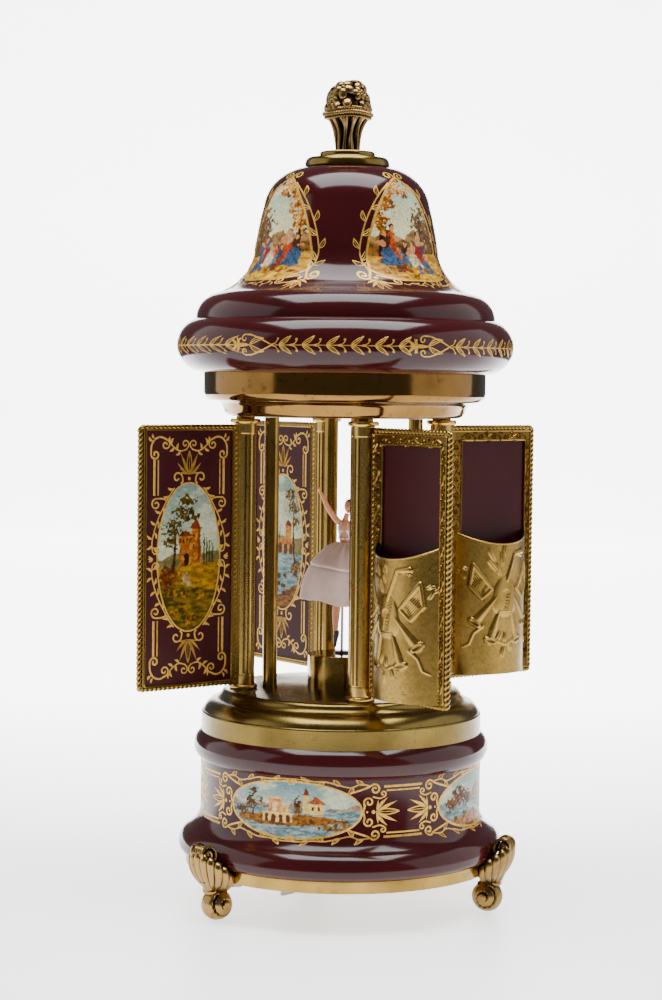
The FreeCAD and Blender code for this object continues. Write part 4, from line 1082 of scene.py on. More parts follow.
def running_scroll(long, half):
    """Engraved border: a waving stem with a volute and leaves in every bend."""
    ink = Gilt()
    count = round(long / 7.4)
    period = long / count
    along = np.linspace(0, long, count * 16)
    ink.line(np.stack([along, 0.8 * half * np.sin(TAU * along / period / 2)], -1), 0.75)
    for k in range(count):
        sign = 1 if k % 2 == 0 else -1
        middle = (k + 0.5) * period
        coil = volute((middle, -0.10 * half * sign), 0.78 * half, 180, -sign, 1.5)
        ink.line(coil, 0.75, 0.6)
        ink.dot((middle, -0.10 * half * sign), 0.30 * half)
        for shift, up, lean, size in ((0.42, -0.5, -60, 0.9), (0.5, -0.2, -95, 0.8), (-0.42, -0.6, -130, 0.9),
                                      (0.30, -0.8, -20, 0.8), (-0.24, -0.9, 200, 0.7)):
            ink.leaf((middle + shift * period, up * half * sign), lean * sign, size * half, 0.42 * half)
    return ink


def pocket_relief(across, up):
    """Height of the embossing, 0 to 1, and its painted shade, at mm from the pocket's middle line and from
    its foot.
    """
    across, up = across / 1.38, (up - 4.5) / 1.2
    height = np.zeros(np.shape(across))

    def raise_to(shape):
        np.maximum(height, shape, out=height)

    def beside(path):
        """For each stretch of a path: the distance from it and the share of the path run there."""
        path = np.asarray(path, dtype=float)
        for i, (a, b) in enumerate(zip(path, path[1:])):
            ab = b - a
            share = np.clip(((across - a[0]) * ab[0] + (up - a[1]) * ab[1]) / (ab @ ab), 0, 1)
            away = np.hypot(across - a[0] - share * ab[0], up - a[1] - share * ab[1])
            yield away, (i + share) / (len(path) - 1)

    def near(path, from_r, to_r, peak, flat=0.5):
        for away, share in beside(path):
            radius = from_r + (to_r - from_r) * share
            raise_to(peak * np.clip(1 - (away / radius) ** 2, 0, 1) ** flat)

    def disc(u, v, wide, tall, turn, peak, flat=0.5):
        c, s = math.cos(math.radians(turn)), math.sin(math.radians(turn))
        x = (across - u) * c + (up - v) * s
        y = (up - v) * c - (across - u) * s
        raise_to(peak * np.clip(1 - (x / wide) ** 2 - (y / tall) ** 2, 0, 1) ** flat)
        return x, y

    def groove(path, radius, deep):
        for away, _ in beside(path):
            cutting = deep * np.clip(1 - (away / radius) ** 2, 0, 1)
            height[:] = np.clip(height - cutting, 0, 1)

    def leaf(u, v, angle, long, wide, peak=0.55):
        turn = math.radians(angle)
        tip = (u + long * math.cos(turn), v + long * math.sin(turn))
        middle = ((u + tip[0]) / 2, (v + tip[1]) / 2)
        disc(middle[0], middle[1], long / 2, wide / 2, angle, peak, 0.7)
        groove([(u, v), tip], 0.28, 0.35)

    # leaf sprays above and below, ribbon loops under the lute
    for u, v, angle in ((-2.0, 34, 112), (-3.6, 36.0, 128), (-1.2, 37.5, 96), (-4.2, 39.5, 118),
                        (-1.0, 41, 84)):
        leaf(u, v, angle, 6.4, 2.0)
    for u, v, angle in ((0, 13, -92), (-1.5, 13.5, -116), (1.4, 9.5, -70), (-0.6, 7.6, -98)):
        leaf(u, v, angle, 5.4, 1.9)
    for side in (-1, 1):
        for k, (u, v) in enumerate(((14.0, 37.2), (16.2, 35.4), (15.0, 33.0))):
            leaf(side * u, v, 90 - side * (80 - 26 * k), 4.0, 1.5, 0.5)
        near([(side * 9, 15), (side * 12, 12.4), (side * 13.6, 8.2), (side * 16.0, 7.0)], 0.6, 0.25, 0.4)
        near([(side * 4, 17), (side * 5.8, 13), (side * 4.2, 9.4), (side * 0.4, 7.8)], 0.8, 0.5, 0.5)

    cups = np.zeros(np.shape(across))
    for side in (-1, 1):
        # lyre: four-sided frame and slanting strings
        frame_line = [(side * 5.6, 29.4), (side * 12.4, 38.6), (side * 13.6, 30.6), (side * 9.4, 25.6)]
        near(frame_line, 0.75, 0.75, 0.85)
        near([frame_line[-1], frame_line[0]], 0.75, 0.75, 0.75)
        for k in range(7):
            share = (k + 0.8) / 7.6
            foot = (side * (5.8 + 3.6 * share), 29.0 - 3.6 * share)
            head = (side * (12.4 + 1.0 * share), 38.2 - 7.4 * share)
            near([foot, head], 0.30, 0.30, 0.55)

        # two trumpets with open bells, their insides given painted shade
        size = 2.7
        for root, bell in (((side * 3.6, 26.5), (side * 11.8, 16.4)),
                           ((side * 2.4, 21.5), (side * 6.0, 9.4))):
            near([root, bell], 0.5, 1.7, 0.75, 0.7)
            heading = math.degrees(math.atan2(bell[1] - root[1], bell[0] - root[0]))
            disc(bell[0], bell[1], 1.5, size, heading, 1.0, 0.4)
            x, y = disc(bell[0], bell[1], 0.9, size * 0.72, heading, 0.0)
            cup = np.clip(1 - (x / 0.95) ** 2 - (y / (size * 0.74)) ** 2, 0, 1)
            height[:] = np.clip(height - 0.8 * cup, 0, 1)
            np.maximum(cups, cup, out=cups)

    # lute: body, rose, neck, strings, bent peg box
    disc(0, 26.4, 5.0, 7.6, 0, 0.9, 0.45)
    disc(0, 24.0, 5.7, 5.7, 0, 0.9, 0.45)
    rose = np.clip(1 - np.hypot(across, up - 27.4) / 1.7, 0, 1)
    height[:] = np.clip(height - 0.4 * np.sqrt(rose), 0, 1)
    near([(0.6, 32.4), (4.4, 42.6)], 0.9, 0.75, 0.95)
    near([(4.4, 42.6), (8.8, 43.2)], 0.8, 1.2, 0.95)
    near([(4.4, 42.6), (9.2, 41.4)], 0.5, 0.4, 0.7)
    for k in (-1.5, -0.5, 0.5, 1.5):
        groove([(0.55 * k, 21.5), (4.2 + 0.3 * k, 42.0)], 0.2, 0.25)
    near([(-2.2, 20.6), (2.2, 20.6)], 0.45, 0.45, 1.0)

    # painted shade darkens the sunk ground where the relief rises from it and inside the bells; the ground is
    # finely stippled and a little darker in specks
    spread = height.copy()
    for axis in (0, 1):
        for _ in range(5):
            spread = (np.roll(spread, 1, axis) + spread + np.roll(spread, -1, axis)) / 3
    painted_shade = np.maximum(np.clip(2.2 * (spread - height), 0, 0.8), 0.75 * cups)
    stipple = smooth_noise(across + 60, up, 0.8, 4, 2)
    ground = np.clip(1 - height * 5, 0, 1)
    painted_shade = np.maximum(painted_shade, ground * np.clip(0.06 + 0.6 * (stipple - 0.45), 0, 0.22))
    height += ground * 0.03 * stipple
    return height, painted_shade


def pocket_mesh():
    """Points, faces and painted shade of one pocket in its door's axes."""
    radius, middle_x, middle_y = 26.66, 31.0, 15.06
    reach_angle = math.asin(22 / radius)
    sunk = 0.95
    inner = radius - 1.5
    columns, rows = 150, 190
    phi = np.linspace(-reach_angle, reach_angle, columns)
    rim_y = middle_y - radius * np.cos(phi)
    rim = POCKET_HIGH + 5.9 * rim_y / 12.6 - 0.45
    share = np.linspace(0, 1, rows)
    z = POCKET_LOW + share[:, None] * (rim - POCKET_LOW)[None, :]
    angle = np.repeat(phi[None, :], rows, 0)
    height, painted_shade = pocket_relief(radius * angle, z - POCKET_LOW)
    out = radius - sunk + sunk * np.clip(height, 0, 1)
    outer = np.stack([middle_x + out * np.sin(angle), middle_y - out * np.cos(angle), z], -1).reshape(-1, 3)
    inside = np.stack([middle_x + inner * np.sin(angle) * 0.985, middle_y - inner * np.cos(angle), z], -1)
    inside = inside[:, ::3].reshape(-1, 3)
    faces_out = grid_faces(rows, columns)[:, ::-1].tolist()
    faces_in = grid_faces(rows, len(phi[::3])).tolist()
    floor_at = POCKET_LOW + 0.9
    floor_r = radius - sunk
    floor = [(middle_x + floor_r * math.sin(a), middle_y - floor_r * math.cos(a), POCKET_LOW)
             for a in phi[::5]]
    floor_up = [(x, y, floor_at) for x, y, _ in floor]
    lip_r = radius - sunk - 0.1
    lip_path = np.stack([middle_x + lip_r * np.sin(phi), middle_y - lip_r * np.cos(phi), rim], -1)
    parts = [(outer, faces_out), (inside, faces_in), (floor, [list(range(len(floor)))]),
             (floor_up, [list(range(len(floor)))[::-1]]), tube(lip_path[2:-2], 0.45, 8)]
    points, faces = joined(parts)
    shade = np.zeros(len(points))
    shade[:rows * columns] = painted_shade.ravel()
    # the pocket's inner wall gets an even painted shade
    shade[rows * columns:rows * columns + len(inside)] = 0.55
    return points, faces, shade


def door_frame_parts():
    """Cast frame with rope edges and beads, in the door's axes, and the painted shade of each point."""
    inset = 2 * ROPE_R - 0.2
    outer = (5.2, DOOR_WIDE - inset, DOOR_LOW + inset, DOOR_HIGH - inset)
    bead_back = rectangle_path(WINDOW[0] - 0.5, WINDOW[1] + 0.5, WINDOW[2] - 0.5, WINDOW[3] + 0.5,
                               0.62, 0.8, 0.4)
    bead_edge = rectangle_path(5.8, outer[1] - 0.3, outer[2] + 0.3, outer[3] - 0.3, 0.62, 0.8, 0.4)
    bead_front = rectangle_path(REBATE[0] - 0.35, REBATE[1] + 0.1, REBATE[2] - 0.1, REBATE[3] + 0.1,
                                2.5, 0.8, 0.4)
    edge = rectangle_path(5.2 + ROPE_R, DOOR_WIDE - ROPE_R - 0.03, DOOR_LOW + ROPE_R + 0.03,
                          DOOR_HIGH - ROPE_R - 0.03, 1.5)
    hug = ring_slab((3.6, 8.9, DOOR_LOW + 0.2, DOOR_HIGH - 0.2), (5.4, 5.5, DOOR_LOW + 3, DOOR_HIGH - 3),
                    0.5, 2.6)
    casting = Casting()
    # painted shade on the border's ground, the sunk ring round the window and the strip by the column
    casting.add(ring_slab(outer, REBATE, 1.2, 2.5), 0.30)
    casting.add(ring_slab(outer, WINDOW, 0.55, 1.2), 0.60)
    casting.add(hug, 0.35)
    for path, radius in ((bead_back, 0.55), (bead_edge, 0.45), (bead_front, 0.42)):
        casting.add(tube(path, radius, 8, True))
    # painted shade in the grooves between the rope's strands
    cord = rope(edge, ROPE_R, 4.6)
    away = np.linalg.norm(cord[0].reshape(len(edge), -1, 3) - edge[:, None], axis=2).ravel() / ROPE_R
    casting.add(cord, np.clip((0.86 - away) * 3.2, 0, 0.9))
    return casting.mesh()


def panel_ornament():
    """Gold scroll work of one painted panel."""
    ink = Gilt()
    whole = Gilt()
    whole.line(oval_line(*PANEL_OVAL, 121), 0.7)
    ink.line(scroll([(-4.4, 32.4), (-3.4, 33.4)], (-6.2, 35.0), 2.7, 0, 1, 0.95), 0.75)
    ink.line(scroll([(-11.6, 25.0), (-13.6, 26.0)], (-17.2, 23.6), 2.5, 90, 1, 1.2), 0.75)
    vine = scroll([(-7.6, 30.6), (-10.2, 27.4), (-13.0, 22.8), (-15.6, 18.2), (-17.8, 12.8), (-19.2, 7.2)],
                  (-17.0, 3.6), 2.0, 190, 1, 1.15)
    ink.line(vine, 0.6)
    for at, angle in (((-8.0, 30.2), 170), ((-10.2, 27.4), 190), ((-13.4, 22.2), 265), ((-14.6, 20.0), 160),
                      ((-16.4, 16.4), 275), ((-17.0, 14.8), 150), ((-18.2, 11.6), 290), ((-18.9, 8.6), 150),
                      ((-19.3, 6.0), 215), ((-18.6, 5.0), 300)):
        ink.leaf(at, angle, 3.3, 1.15)
    for u, wide in ((-18.2, 1.15), (-16.2, 0.6)):
        ink.line([(u, 27.4), (u, 43.0)], wide)
    corner = flow([(-20.0, 45.4), (-19.7, 49.4), (-17.6, 52.2), (-14.6, 52.9), (-11.4, 51.6)])
    ink.line(np.vstack([volute((-17.7, 45.4), 2.3, 180, 1, 1.15)[:0:-1], corner]), 0.85)
    ink.line(volute((-12.4, 49.6), 2.3, 62, -1, 1.2), 0.75)
    ink.leaf((-19.2, 51.2), 135, 2.6, 1.2)
    ink.leaf((-18.4, 52.4), 110, 2.2, 1.0)
    sprig = scroll([(-10.4, 50.6), (-8.0, 48.4), (-5.0, 46.8), (-1.8, 47.4)], (-2.2, 49.8), 2.1, -60, 1, 1.15)
    ink.line(sprig, 0.65)
    for at, angle in (((-9.4, 49.6), 70), ((-8.0, 48.4), 215), ((-6.2, 47.2), 80), ((-4.6, 46.8), 215),
                      ((-9.8, 50.2), 100)):
        ink.leaf(at, angle, 3.0, 1.15)
    half = Gilt()
    half.add(ink)
    half.palmette((0, 36.4), 90, 10.4)
    half.dot((0, 34.6), 0.8)
    half.mirrored(across=True)
    half.mirrored(upright=True)
    side = Gilt()
    for angle in (150, 180, 210):
        side.leaf((-18.6, 0), angle, 2.6, 0.9)
    side.mirrored(across=True)
    whole.add(half)
    whole.add(side)
    return whole


def doors():
    """Frame, pocket, relief, gilding and painting of each of the four doors."""
    pocket_points, pocket_faces, pocket_shade = pocket_mesh()
    frame_points, frame_faces, frame_shade = door_frame_parts()
    ornament = panel_ornament()
    relief = Gilt()
    high, low_z = DOOR_HIGH - 4.9 - PANEL_MIDDLE[1], DOOR_LOW + 5.0 - PANEL_MIDDLE[1]
    upright = running_scroll(high - low_z - 4, 2.15)
    for middle in (9.4 - PANEL_MIDDLE[0], 53.5 - PANEL_MIDDLE[0]):
        share = 1 if middle < 0 else 0.72
        for strip in upright.strips:
            relief.strips.append(np.stack([strip[..., 1] * share + middle, strip[..., 0] + low_z + 2], -1))
    across = running_scroll(WINDOW[1] - WINDOW[0] + 1, 1.9)
    for level in (high - 0.6, low_z + 0.4):
        relief.add(across, (WINDOW[0] - PANEL_MIDDLE[0] - 0.5, level))
    scenes = {1: (castle_scene, 3), 2: (castle_scene, 5), 3: (river_scene, 8), 4: (castle_scene, 6)}
    for number in COLUMN_ANGLES:
        body = f"door_{number}"
        frame_piece = make_piece(f"rope_frame_{number}", door_place(number, frame_points), frame_faces,
                                 EMBOSSED, body, painted_shade=frame_shade)
        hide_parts(f"{body}_frame")
        pocket = make_piece(f"embossed_pocket_{number}", door_place(number, pocket_points), pocket_faces,
                            POCKET_BRASS, body, painted_shade=pocket_shade)
        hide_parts(f"{body}_pocket")
        relief.piece(f"border_relief_{number}", door_face(number, 0.55, -1), body, 0.0, 0.60, EMBOSSED)
        ornament.piece(f"panel_gilding_{number}", door_face(number, PANEL_FACE, 1), body)
        painter, seed = scenes[number]
        painted_piece(f"panel_painting_{number}", door_face(number, PANEL_FACE, 1),
                      oval(*PANEL_OVAL), -PANEL_OVAL[1], PANEL_OVAL[1], painter, seed, body)


# ------------------------------------------------------------ ornament of base and dome

BASE_LINE = Profile(BASE_OUTER)
DOME_LINE = Profile(DOME_OUTER)
WAIST_MIDDLE = 51.5
WAIST_OVAL = (31, 12.5)
RIM_HIGH = 250.5


def waist_ornament():
    """One quarter of the base: oval in the middle, palmettes where the quarters meet."""
    quarter = WAIST_R * math.pi / 4
    ink = Gilt()
    ink.line(scroll([(31.6, 0.2), (32.2, 2.6)], (34.0, 4.2), 2.3, -150, -1, 1.2), 0.85)
    ink.line(scroll([(26.0, 8.2), (30.0, 9.4), (33.4, 10.6)], (36.6, 9.8), 2.3, 110, -1, 1.25), 0.85)
    ink.line(scroll([(35.6, 6.6), (38.6, 5.8)], (40.2, 7.8), 1.5, -90, 1, 1.1), 0.7)
    ink.dot((33.2, 0.0), 0.5)
    vine = flow([(34.2, 11.4), (30, 11.9), (26, 10.6), (21, 11.6), (15.5, 12.9), (10, 12.9), (4, 13.6),
                 (0, 13.6)], 7)
    ink.line(vine, 0.6)
    for k in range(6):
        i = int((k + 0.5) / 6 * len(vine))
        ink.outlined_leaf(vine[i], heading_at(vine, i) + (32 if k % 2 else -28), 4.2, 1.6, 0.1)
    ink.line([(quarter, 10.9), (45, 10.9), (40.6, 10.9)], 1.0)
    ink.line([(quarter, 9.2), (45, 9.2), (41.8, 9.2)], 0.7)
    ink.mirrored(upright=True)
    ink.palmette((37.2, 0), 0, 10.6)
    ink.dot((36.0, 0), 0.85)
    ink.mirrored(across=True)
    ink.line(oval_line(*WAIST_OVAL, 161), 0.9)
    return ink


EGG_LOW, EGG_HIGH = 2.5, 52.0


def egg_half(v):
    """Half width of a dome vignette: broad foot, pointed top."""
    share = np.clip((np.asarray(v) - EGG_LOW) / (EGG_HIGH - EGG_LOW), 0, 1)
    return 22.0 * np.clip(share * 9, 0.02, 1) ** 0.35 * np.clip(1 - share ** 2.0, 0.0004, 1) ** 0.80


def dome_ornament():
    """Gold work of one dome vignette and the fan below its corners."""
    rows = np.linspace(EGG_LOW, EGG_HIGH, 60)
    half = egg_half(rows)
    ink = Gilt()
    ink.line(np.stack([-half, rows], -1), 1.0)
    ink.line(flow([(0.0, EGG_LOW - 0.2), (-10, EGG_LOW - 0.1), (-20.4, EGG_LOW + 2.4)]), 0.9)
    crest = scroll([(-0.2, EGG_HIGH - 0.6), (-0.6, EGG_HIGH + 1.0)], (-3.2, EGG_HIGH + 1.2), 2.4, 20, 1, 1.2)
    ink.line(crest, 0.8)
    vine = flow([(-5.4, 48.6), (-11.6, 42.6), (-17.0, 35.0), (-21.0, 27.0), (-23.4, 19.0), (-23.8, 12.0),
                 (-22.8, 9.4)], 8)
    ink.line(vine, 0.62)
    for k in range(8):
        i = int((k + 0.7) / 8.4 * len(vine))
        hand = 1 if k % 2 else -1
        ink.outlined_leaf(vine[i], heading_at(vine, i) + 180 + 34 * hand, 5.0, 1.9, 0.12 * hand)
    ink.line(scroll([(-22.8, 9.4), (-22.2, 6.8), (-23.2, 4.8)], (-26.2, 4.9), 2.9, -30, -1, 1.35), 1.0)
    ink.line(scroll([(-20.4, 1.2), (-17.6, -0.2), (-15.0, -0.5)], (-12.6, 1.2), 2.3, -120, 1, 1.25), 0.9)
    ink.palmette((-21.4, 1.6), -108, 8.6)
    ink.dot((-21.2, 3.2), 1.0)
    ink.outlined_leaf((-22.4, 8.4), 62, 4.6, 2.0)
    ink.mirrored(across=True)
    stem = np.stack([np.linspace(-10, 10, 50), -0.4 + 0.8 * np.sin(np.linspace(-12, 12, 50) * 0.8)], -1)
    ink.line(stem, 0.5)
    for k in range(8):
        i = int((k + 0.6) / 8 * (len(stem) - 1))
        hand = 1 if k % 2 == 0 else -1
        ink.leaf(stem[i], heading_at(stem, i) + 44 * hand, 2.6, 1.0, -0.12 * hand)
    return ink


def rim_ornament(period):
    """One repeat of the leaf band round the rim: a knot of scrolls, then pairs of leaves and curls."""
    ink = Gilt()
    knot = 17.5
    pairs = 6
    pitch = (period - knot) / pairs
    ink.line([(knot, 0), (period, 0)], 0.45)
    for k in range(pairs):
        u = knot + (k + 0.2) * pitch
        ink.outlined_leaf((u, 0.1), 36, 6.4, 1.6, -0.03)
        ink.line(flow([(u + 0.42 * pitch, 0), (u + 0.66 * pitch, 0.6), (u + 0.78 * pitch, 2.0)]), 0.42)
        ink.dot((u + 0.75 * pitch, 2.4), 0.55)
    ink.line(scroll([(16.0, 0.1), (11.0, 2.4), (6.0, 4.2)], (2.8, 2.7), 1.7, 90, 1, 0.9), 0.60)
    ink.outlined_leaf((5.4, 0.2), 20, 7.4, 1.8, 0.10)
    ink.line(flow([(16.0, 0.1), (18.0, 0.9), (19.0, 2.4)]), 0.42)
    ink.dot((19.0, 2.6), 0.50)
    ink.leaf((0.2, 0), 118, 3.6, 1.2, 0)
    ink.leaf((-0.8, 0), 146, 4.4, 1.3, 0)
    ink.mirrored(upright=True)
    ink.leaf((-4.0, 0), 0, 9.6, 1.7, 0)
    return ink


def shell_ornament():
    """Gilding and paintings of base and dome, four times round, and the band on the rim."""
    waist = waist_ornament()
    dome = dome_ornament()
    egg_foot = CREASE + 15.0
    for k in range(4):
        angle = -120 + 90 * k
        surface = BASE_LINE.surface(angle, WAIST_MIDDLE)
        waist.piece(f"base_gilding_{k + 1}", surface, "case")
        painter, seed = ((lake_scene, 4), (mill_scene, 7), (lake_scene, 9), (mill_scene, 12))[k]
        painted_piece(f"base_painting_{k + 1}", surface,
                      oval(*WAIST_OVAL), -WAIST_OVAL[1], WAIST_OVAL[1], painter, seed, "case")
        surface = DOME_LINE.surface(angle - 30, egg_foot)
        dome.piece(f"dome_gilding_{k + 1}", surface, "case")
        painted_piece(f"dome_painting_{k + 1}", surface, egg_half, EGG_LOW, EGG_HIGH,
                      garden_scene, 3 + k, "case", middle_v=25.0)
    rim_r = float(DOME_LINE.spot(DOME_LINE.run_at(RIM_HIGH))[0])
    repeats = 6
    repeat = TAU * rim_r / repeats
    band = Gilt()
    one = rim_ornament(repeat)
    for k in range(repeats):
        band.add(one, (k * repeat, 0))
    band.piece("rim_gilding", DOME_LINE.surface(-137, RIM_HIGH), "case")


# ------------------------------------------------------------ cast feet

def blob(centre, radii, turn_deg=0.0, tilt_deg=0.0, rows=10, columns=14, dent=None):
    """Rounded lump; tilt leans it outward (+x), then turn swings it about Z."""
    phi = np.linspace(0, math.pi, rows)[:, None]
    theta = ring_angles(columns)[None, :]
    unit = np.stack([np.sin(phi) * np.cos(theta), np.sin(phi) * np.sin(theta), np.cos(phi) + 0 * theta], -1)
    if dent is not None:
        unit = unit * dent(phi, theta)[..., None]
    points = turn_z(leaned(unit.reshape(-1, 3) * radii, tilt_deg), turn_deg) + centre
    return points, grid_faces(rows, columns, True).tolist()


NECK_X = 1.6


def shell_spot(angle, level):
    """Point of a foot's shell at an angle from outward and a level from neck to tip."""
    tall = 18.4 - 7.2 * (np.abs(angle) / math.radians(112)) ** 1.3
    swell = np.sin(math.pi * np.clip(0.07 + 0.60 * level, 0, 1)) ** 0.9
    x = NECK_X + 2.0 * level + 6.9 * swell * np.cos(angle)
    y = 10.2 * swell * np.sin(angle)
    z = 13.4 + tall * level - 1.2 * swell * (1 - np.cos(angle))
    return x, y, z


def foot_parts():
    """Points, faces and shades of one cast foot in its own axes: +x outward, origin on the floor."""
    casting = Casting()

    # curled ball with a spiral groove on each cheek, the groove in painted shade
    rows, columns = 64, 96
    phi = np.linspace(0.001, math.pi - 0.001, rows)[:, None]
    theta = ring_angles(columns)[None, :]
    unit = np.stack([np.sin(phi) * np.cos(theta), np.cos(phi) + 0 * theta, np.sin(phi) * np.sin(theta)], -1)
    from_pole = np.minimum(phi, math.pi - phi) + 0 * theta
    spiral = (from_pole / 0.62 - theta / TAU + 0.15) % 1.0
    groove = np.clip(1 - np.abs(spiral - 0.5) / 0.17, 0, 1) * np.clip((from_pole - 0.12) / 0.2, 0, 1)
    groove *= np.clip((1.42 - from_pole) / 0.25, 0, 1)
    size = 6.9 * (1 - 0.17 * groove ** 0.8)
    ball = (unit * size[..., None]).reshape(-1, 3) + (0, 0, 6.95)
    casting.add((ball, grid_faces(rows, columns, True)[:, ::-1].tolist()), groove.ravel())

    # neck that sweeps from the ball up into the shell, with a little painted shade
    neck = flow([(-0.6, 0, 10.6), (0.8, 0, 12.8), (2.6, 0, 15.0), (3.6, 0, 18.4)], 5)
    thick = np.interp(np.linspace(0, 1, len(neck)), [0, 0.35, 1], [4.6, 3.3, 4.6])
    casting.add(tube(neck, thick, 18), 0.15)
    casting.add(blob((4.0, 0, 13.4), (2.5, 4.2, 1.9), 0, 20), 0.05)

    # backing of the shell, in painted shade where it shows between the lobes
    rows, columns = 20, 60
    level = np.linspace(0, 1, rows)[:, None]
    angle = np.radians(np.linspace(-120, 120, columns))[None, :]
    x, y, z = shell_spot(angle, level * 0.9)
    backing = np.stack([(x - NECK_X) * 0.86 + NECK_X, y * 0.88, z], -1).reshape(-1, 3)
    casting.add((backing, grid_faces(rows, columns).tolist()), 0.85)

    # fluted lobes that fan out from the neck, with painted shade on their inward sides; the side ones end in
    # rounded tips that curl outward
    share = np.linspace(0, 1, 16)
    sides = 14
    for degrees in (-112, -88, -64, -41, -20, 0, 20, 41, 64, 88, 112):
        beta = math.radians(degrees)
        x, y, z = shell_spot(beta + 0 * share, share)
        thick = np.interp(share, [0, 0.3, 0.7, 0.86, 0.96, 1], [0.9, 1.45, 2.0, 2.1, 1.5, 0.5])
        if abs(degrees) > 50:
            thick = thick * 1.08
        lobe, faces = tube(np.stack([x, y, z], -1), thick, sides)
        around = np.repeat(thick, sides)
        off = np.linalg.norm(lobe[:, :2] - np.repeat(np.stack([x, y], -1), sides, axis=0), axis=1)
        outward = (lobe[:, 0] - NECK_X) * math.cos(beta) + lobe[:, 1] * math.sin(beta)
        middle = np.repeat((x - NECK_X) * math.cos(beta) + y * math.sin(beta), sides)
        shade = np.clip(0.75 - (outward - middle) / around, 0, 0.9) * np.clip(off / around + 0.3, 0, 1)
        casting.add((lobe, faces), shade)

    # rolled top: a ribbed ribbon wound into a volute, with painted shade between its ribs and in its eye
    coil = 1.6 * TAU
    rows, columns = 60, 31
    wind = np.linspace(0, 1, rows)
    away = 4.3 * (1 - 0.78 * wind)
    turn = math.radians(215) - coil * wind
    eye_x, eye_z = 8.0, 30.0
    roll_x = away * np.cos(turn)
    roll_z = away * np.sin(turn)
    breadth = np.linspace(-1, 1, columns)
    rib = np.abs(np.cos(breadth * math.pi * 2.5))
    half = 3.9 * (1 - 0.10 * wind)[:, None]
    shrink = 1 - 0.10 * (1 - rib)[None, :]
    ribbon = np.stack([eye_x + roll_x[:, None] * shrink, half * breadth,
                       eye_z + roll_z[:, None] * shrink], -1)
    casting.add((ribbon.reshape(-1, 3), grid_faces(rows, columns).tolist()), np.tile(0.7 * (1 - rib), rows))
    for side in (-1, 1):
        cheek = np.stack([eye_x + roll_x, side * half[:, 0], eye_z + roll_z], -1)
        casting.add(tube(cheek, np.linspace(0.85, 0.6, rows), 8))
        casting.add(blob((eye_x, side * 3.2, eye_z), (1.5, 1.4, 1.5)))
    casting.add(blob((eye_x, 0, eye_z), (2.6, 3.2, 2.6)), 0.85)

    # flat plate that reaches in under the tray
    plate = np.array([(x, y, z) for x in (-15.2, 1.0) for y in (-4.8, 4.8) for z in (15.95, 17.3)])
    casting.add((plate, [(0, 1, 3, 2), (4, 6, 7, 5), (0, 4, 5, 1), (2, 3, 7, 6), (0, 2, 6, 4), (1, 5, 7, 3)]))
    points, faces, shade = casting.mesh()
    return keep_off_case(points), faces, shade


def keep_off_case(points):
    """Pushes a foot's points out of the tray and the bulge it stands against."""
    points = points.copy()
    x = points[:, 0] + FOOT_RING
    away = np.hypot(x, points[:, 1])
    limit = np.where(points[:, 2] > RING_LOW, RING_R + 0.05, 0)
    limit = np.where(points[:, 2] > RING_HIGH, BULGE_R + 0.15, limit)
    push = np.maximum(1, limit / np.maximum(away, 1))
    points[:, 0] = x * push - FOOT_RING
    points[:, 1] = points[:, 1] * push
    return points


def feet():
    """The three cast feet under the tray."""
    points, faces, shade = foot_parts()
    for number, angle in FOOT_ANGLES.items():
        turn = math.radians(angle)
        spot = np.array([FOOT_RING * math.cos(turn), FOOT_RING * math.sin(turn), 0])
        placed = turn_z(points, angle) + spot
        made = make_piece(f"shell_foot_{number}", placed, faces, CAST, "case", painted_shade=shade)
        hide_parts(f"foot_{number}")


# ------------------------------------------------------------ flower basket

def blossom(casting, centre, out, size, spin):
    """Adds a chunky flower head that faces outward: petals round a raised heart, with painted shade on the
    petals' edges and under the heart.
    """
    out = np.asarray(out) / np.linalg.norm(out)
    side = np.cross(out, (0.2, 0.3, 0.93))
    side /= np.linalg.norm(side)
    up = np.cross(out, side)
    axes = np.stack([side, up, out])
    petal, faces = blob((0.54 * size, 0, 0.10 * size), (0.44 * size, 0.35 * size, 0.19 * size), 0, 30, 9, 12)
    rim = np.clip(np.abs(petal[:, 1]) / (0.33 * size), 0, 1)
    for k in range(5):
        turn = spin + TAU * k / 5
        casting.add((turn_z(petal, math.degrees(turn)) @ axes + centre, faces), 0.85 * rim ** 3)
    heart, faces = blob((0, 0, 0.16 * size), (0.22 * size, 0.22 * size, 0.22 * size), rows=8, columns=12)
    casting.add((heart @ axes + centre, faces), np.where(heart[:, 2] < 0.16 * size, 0.9, 0.0))


BOUQUET_R = 11.55


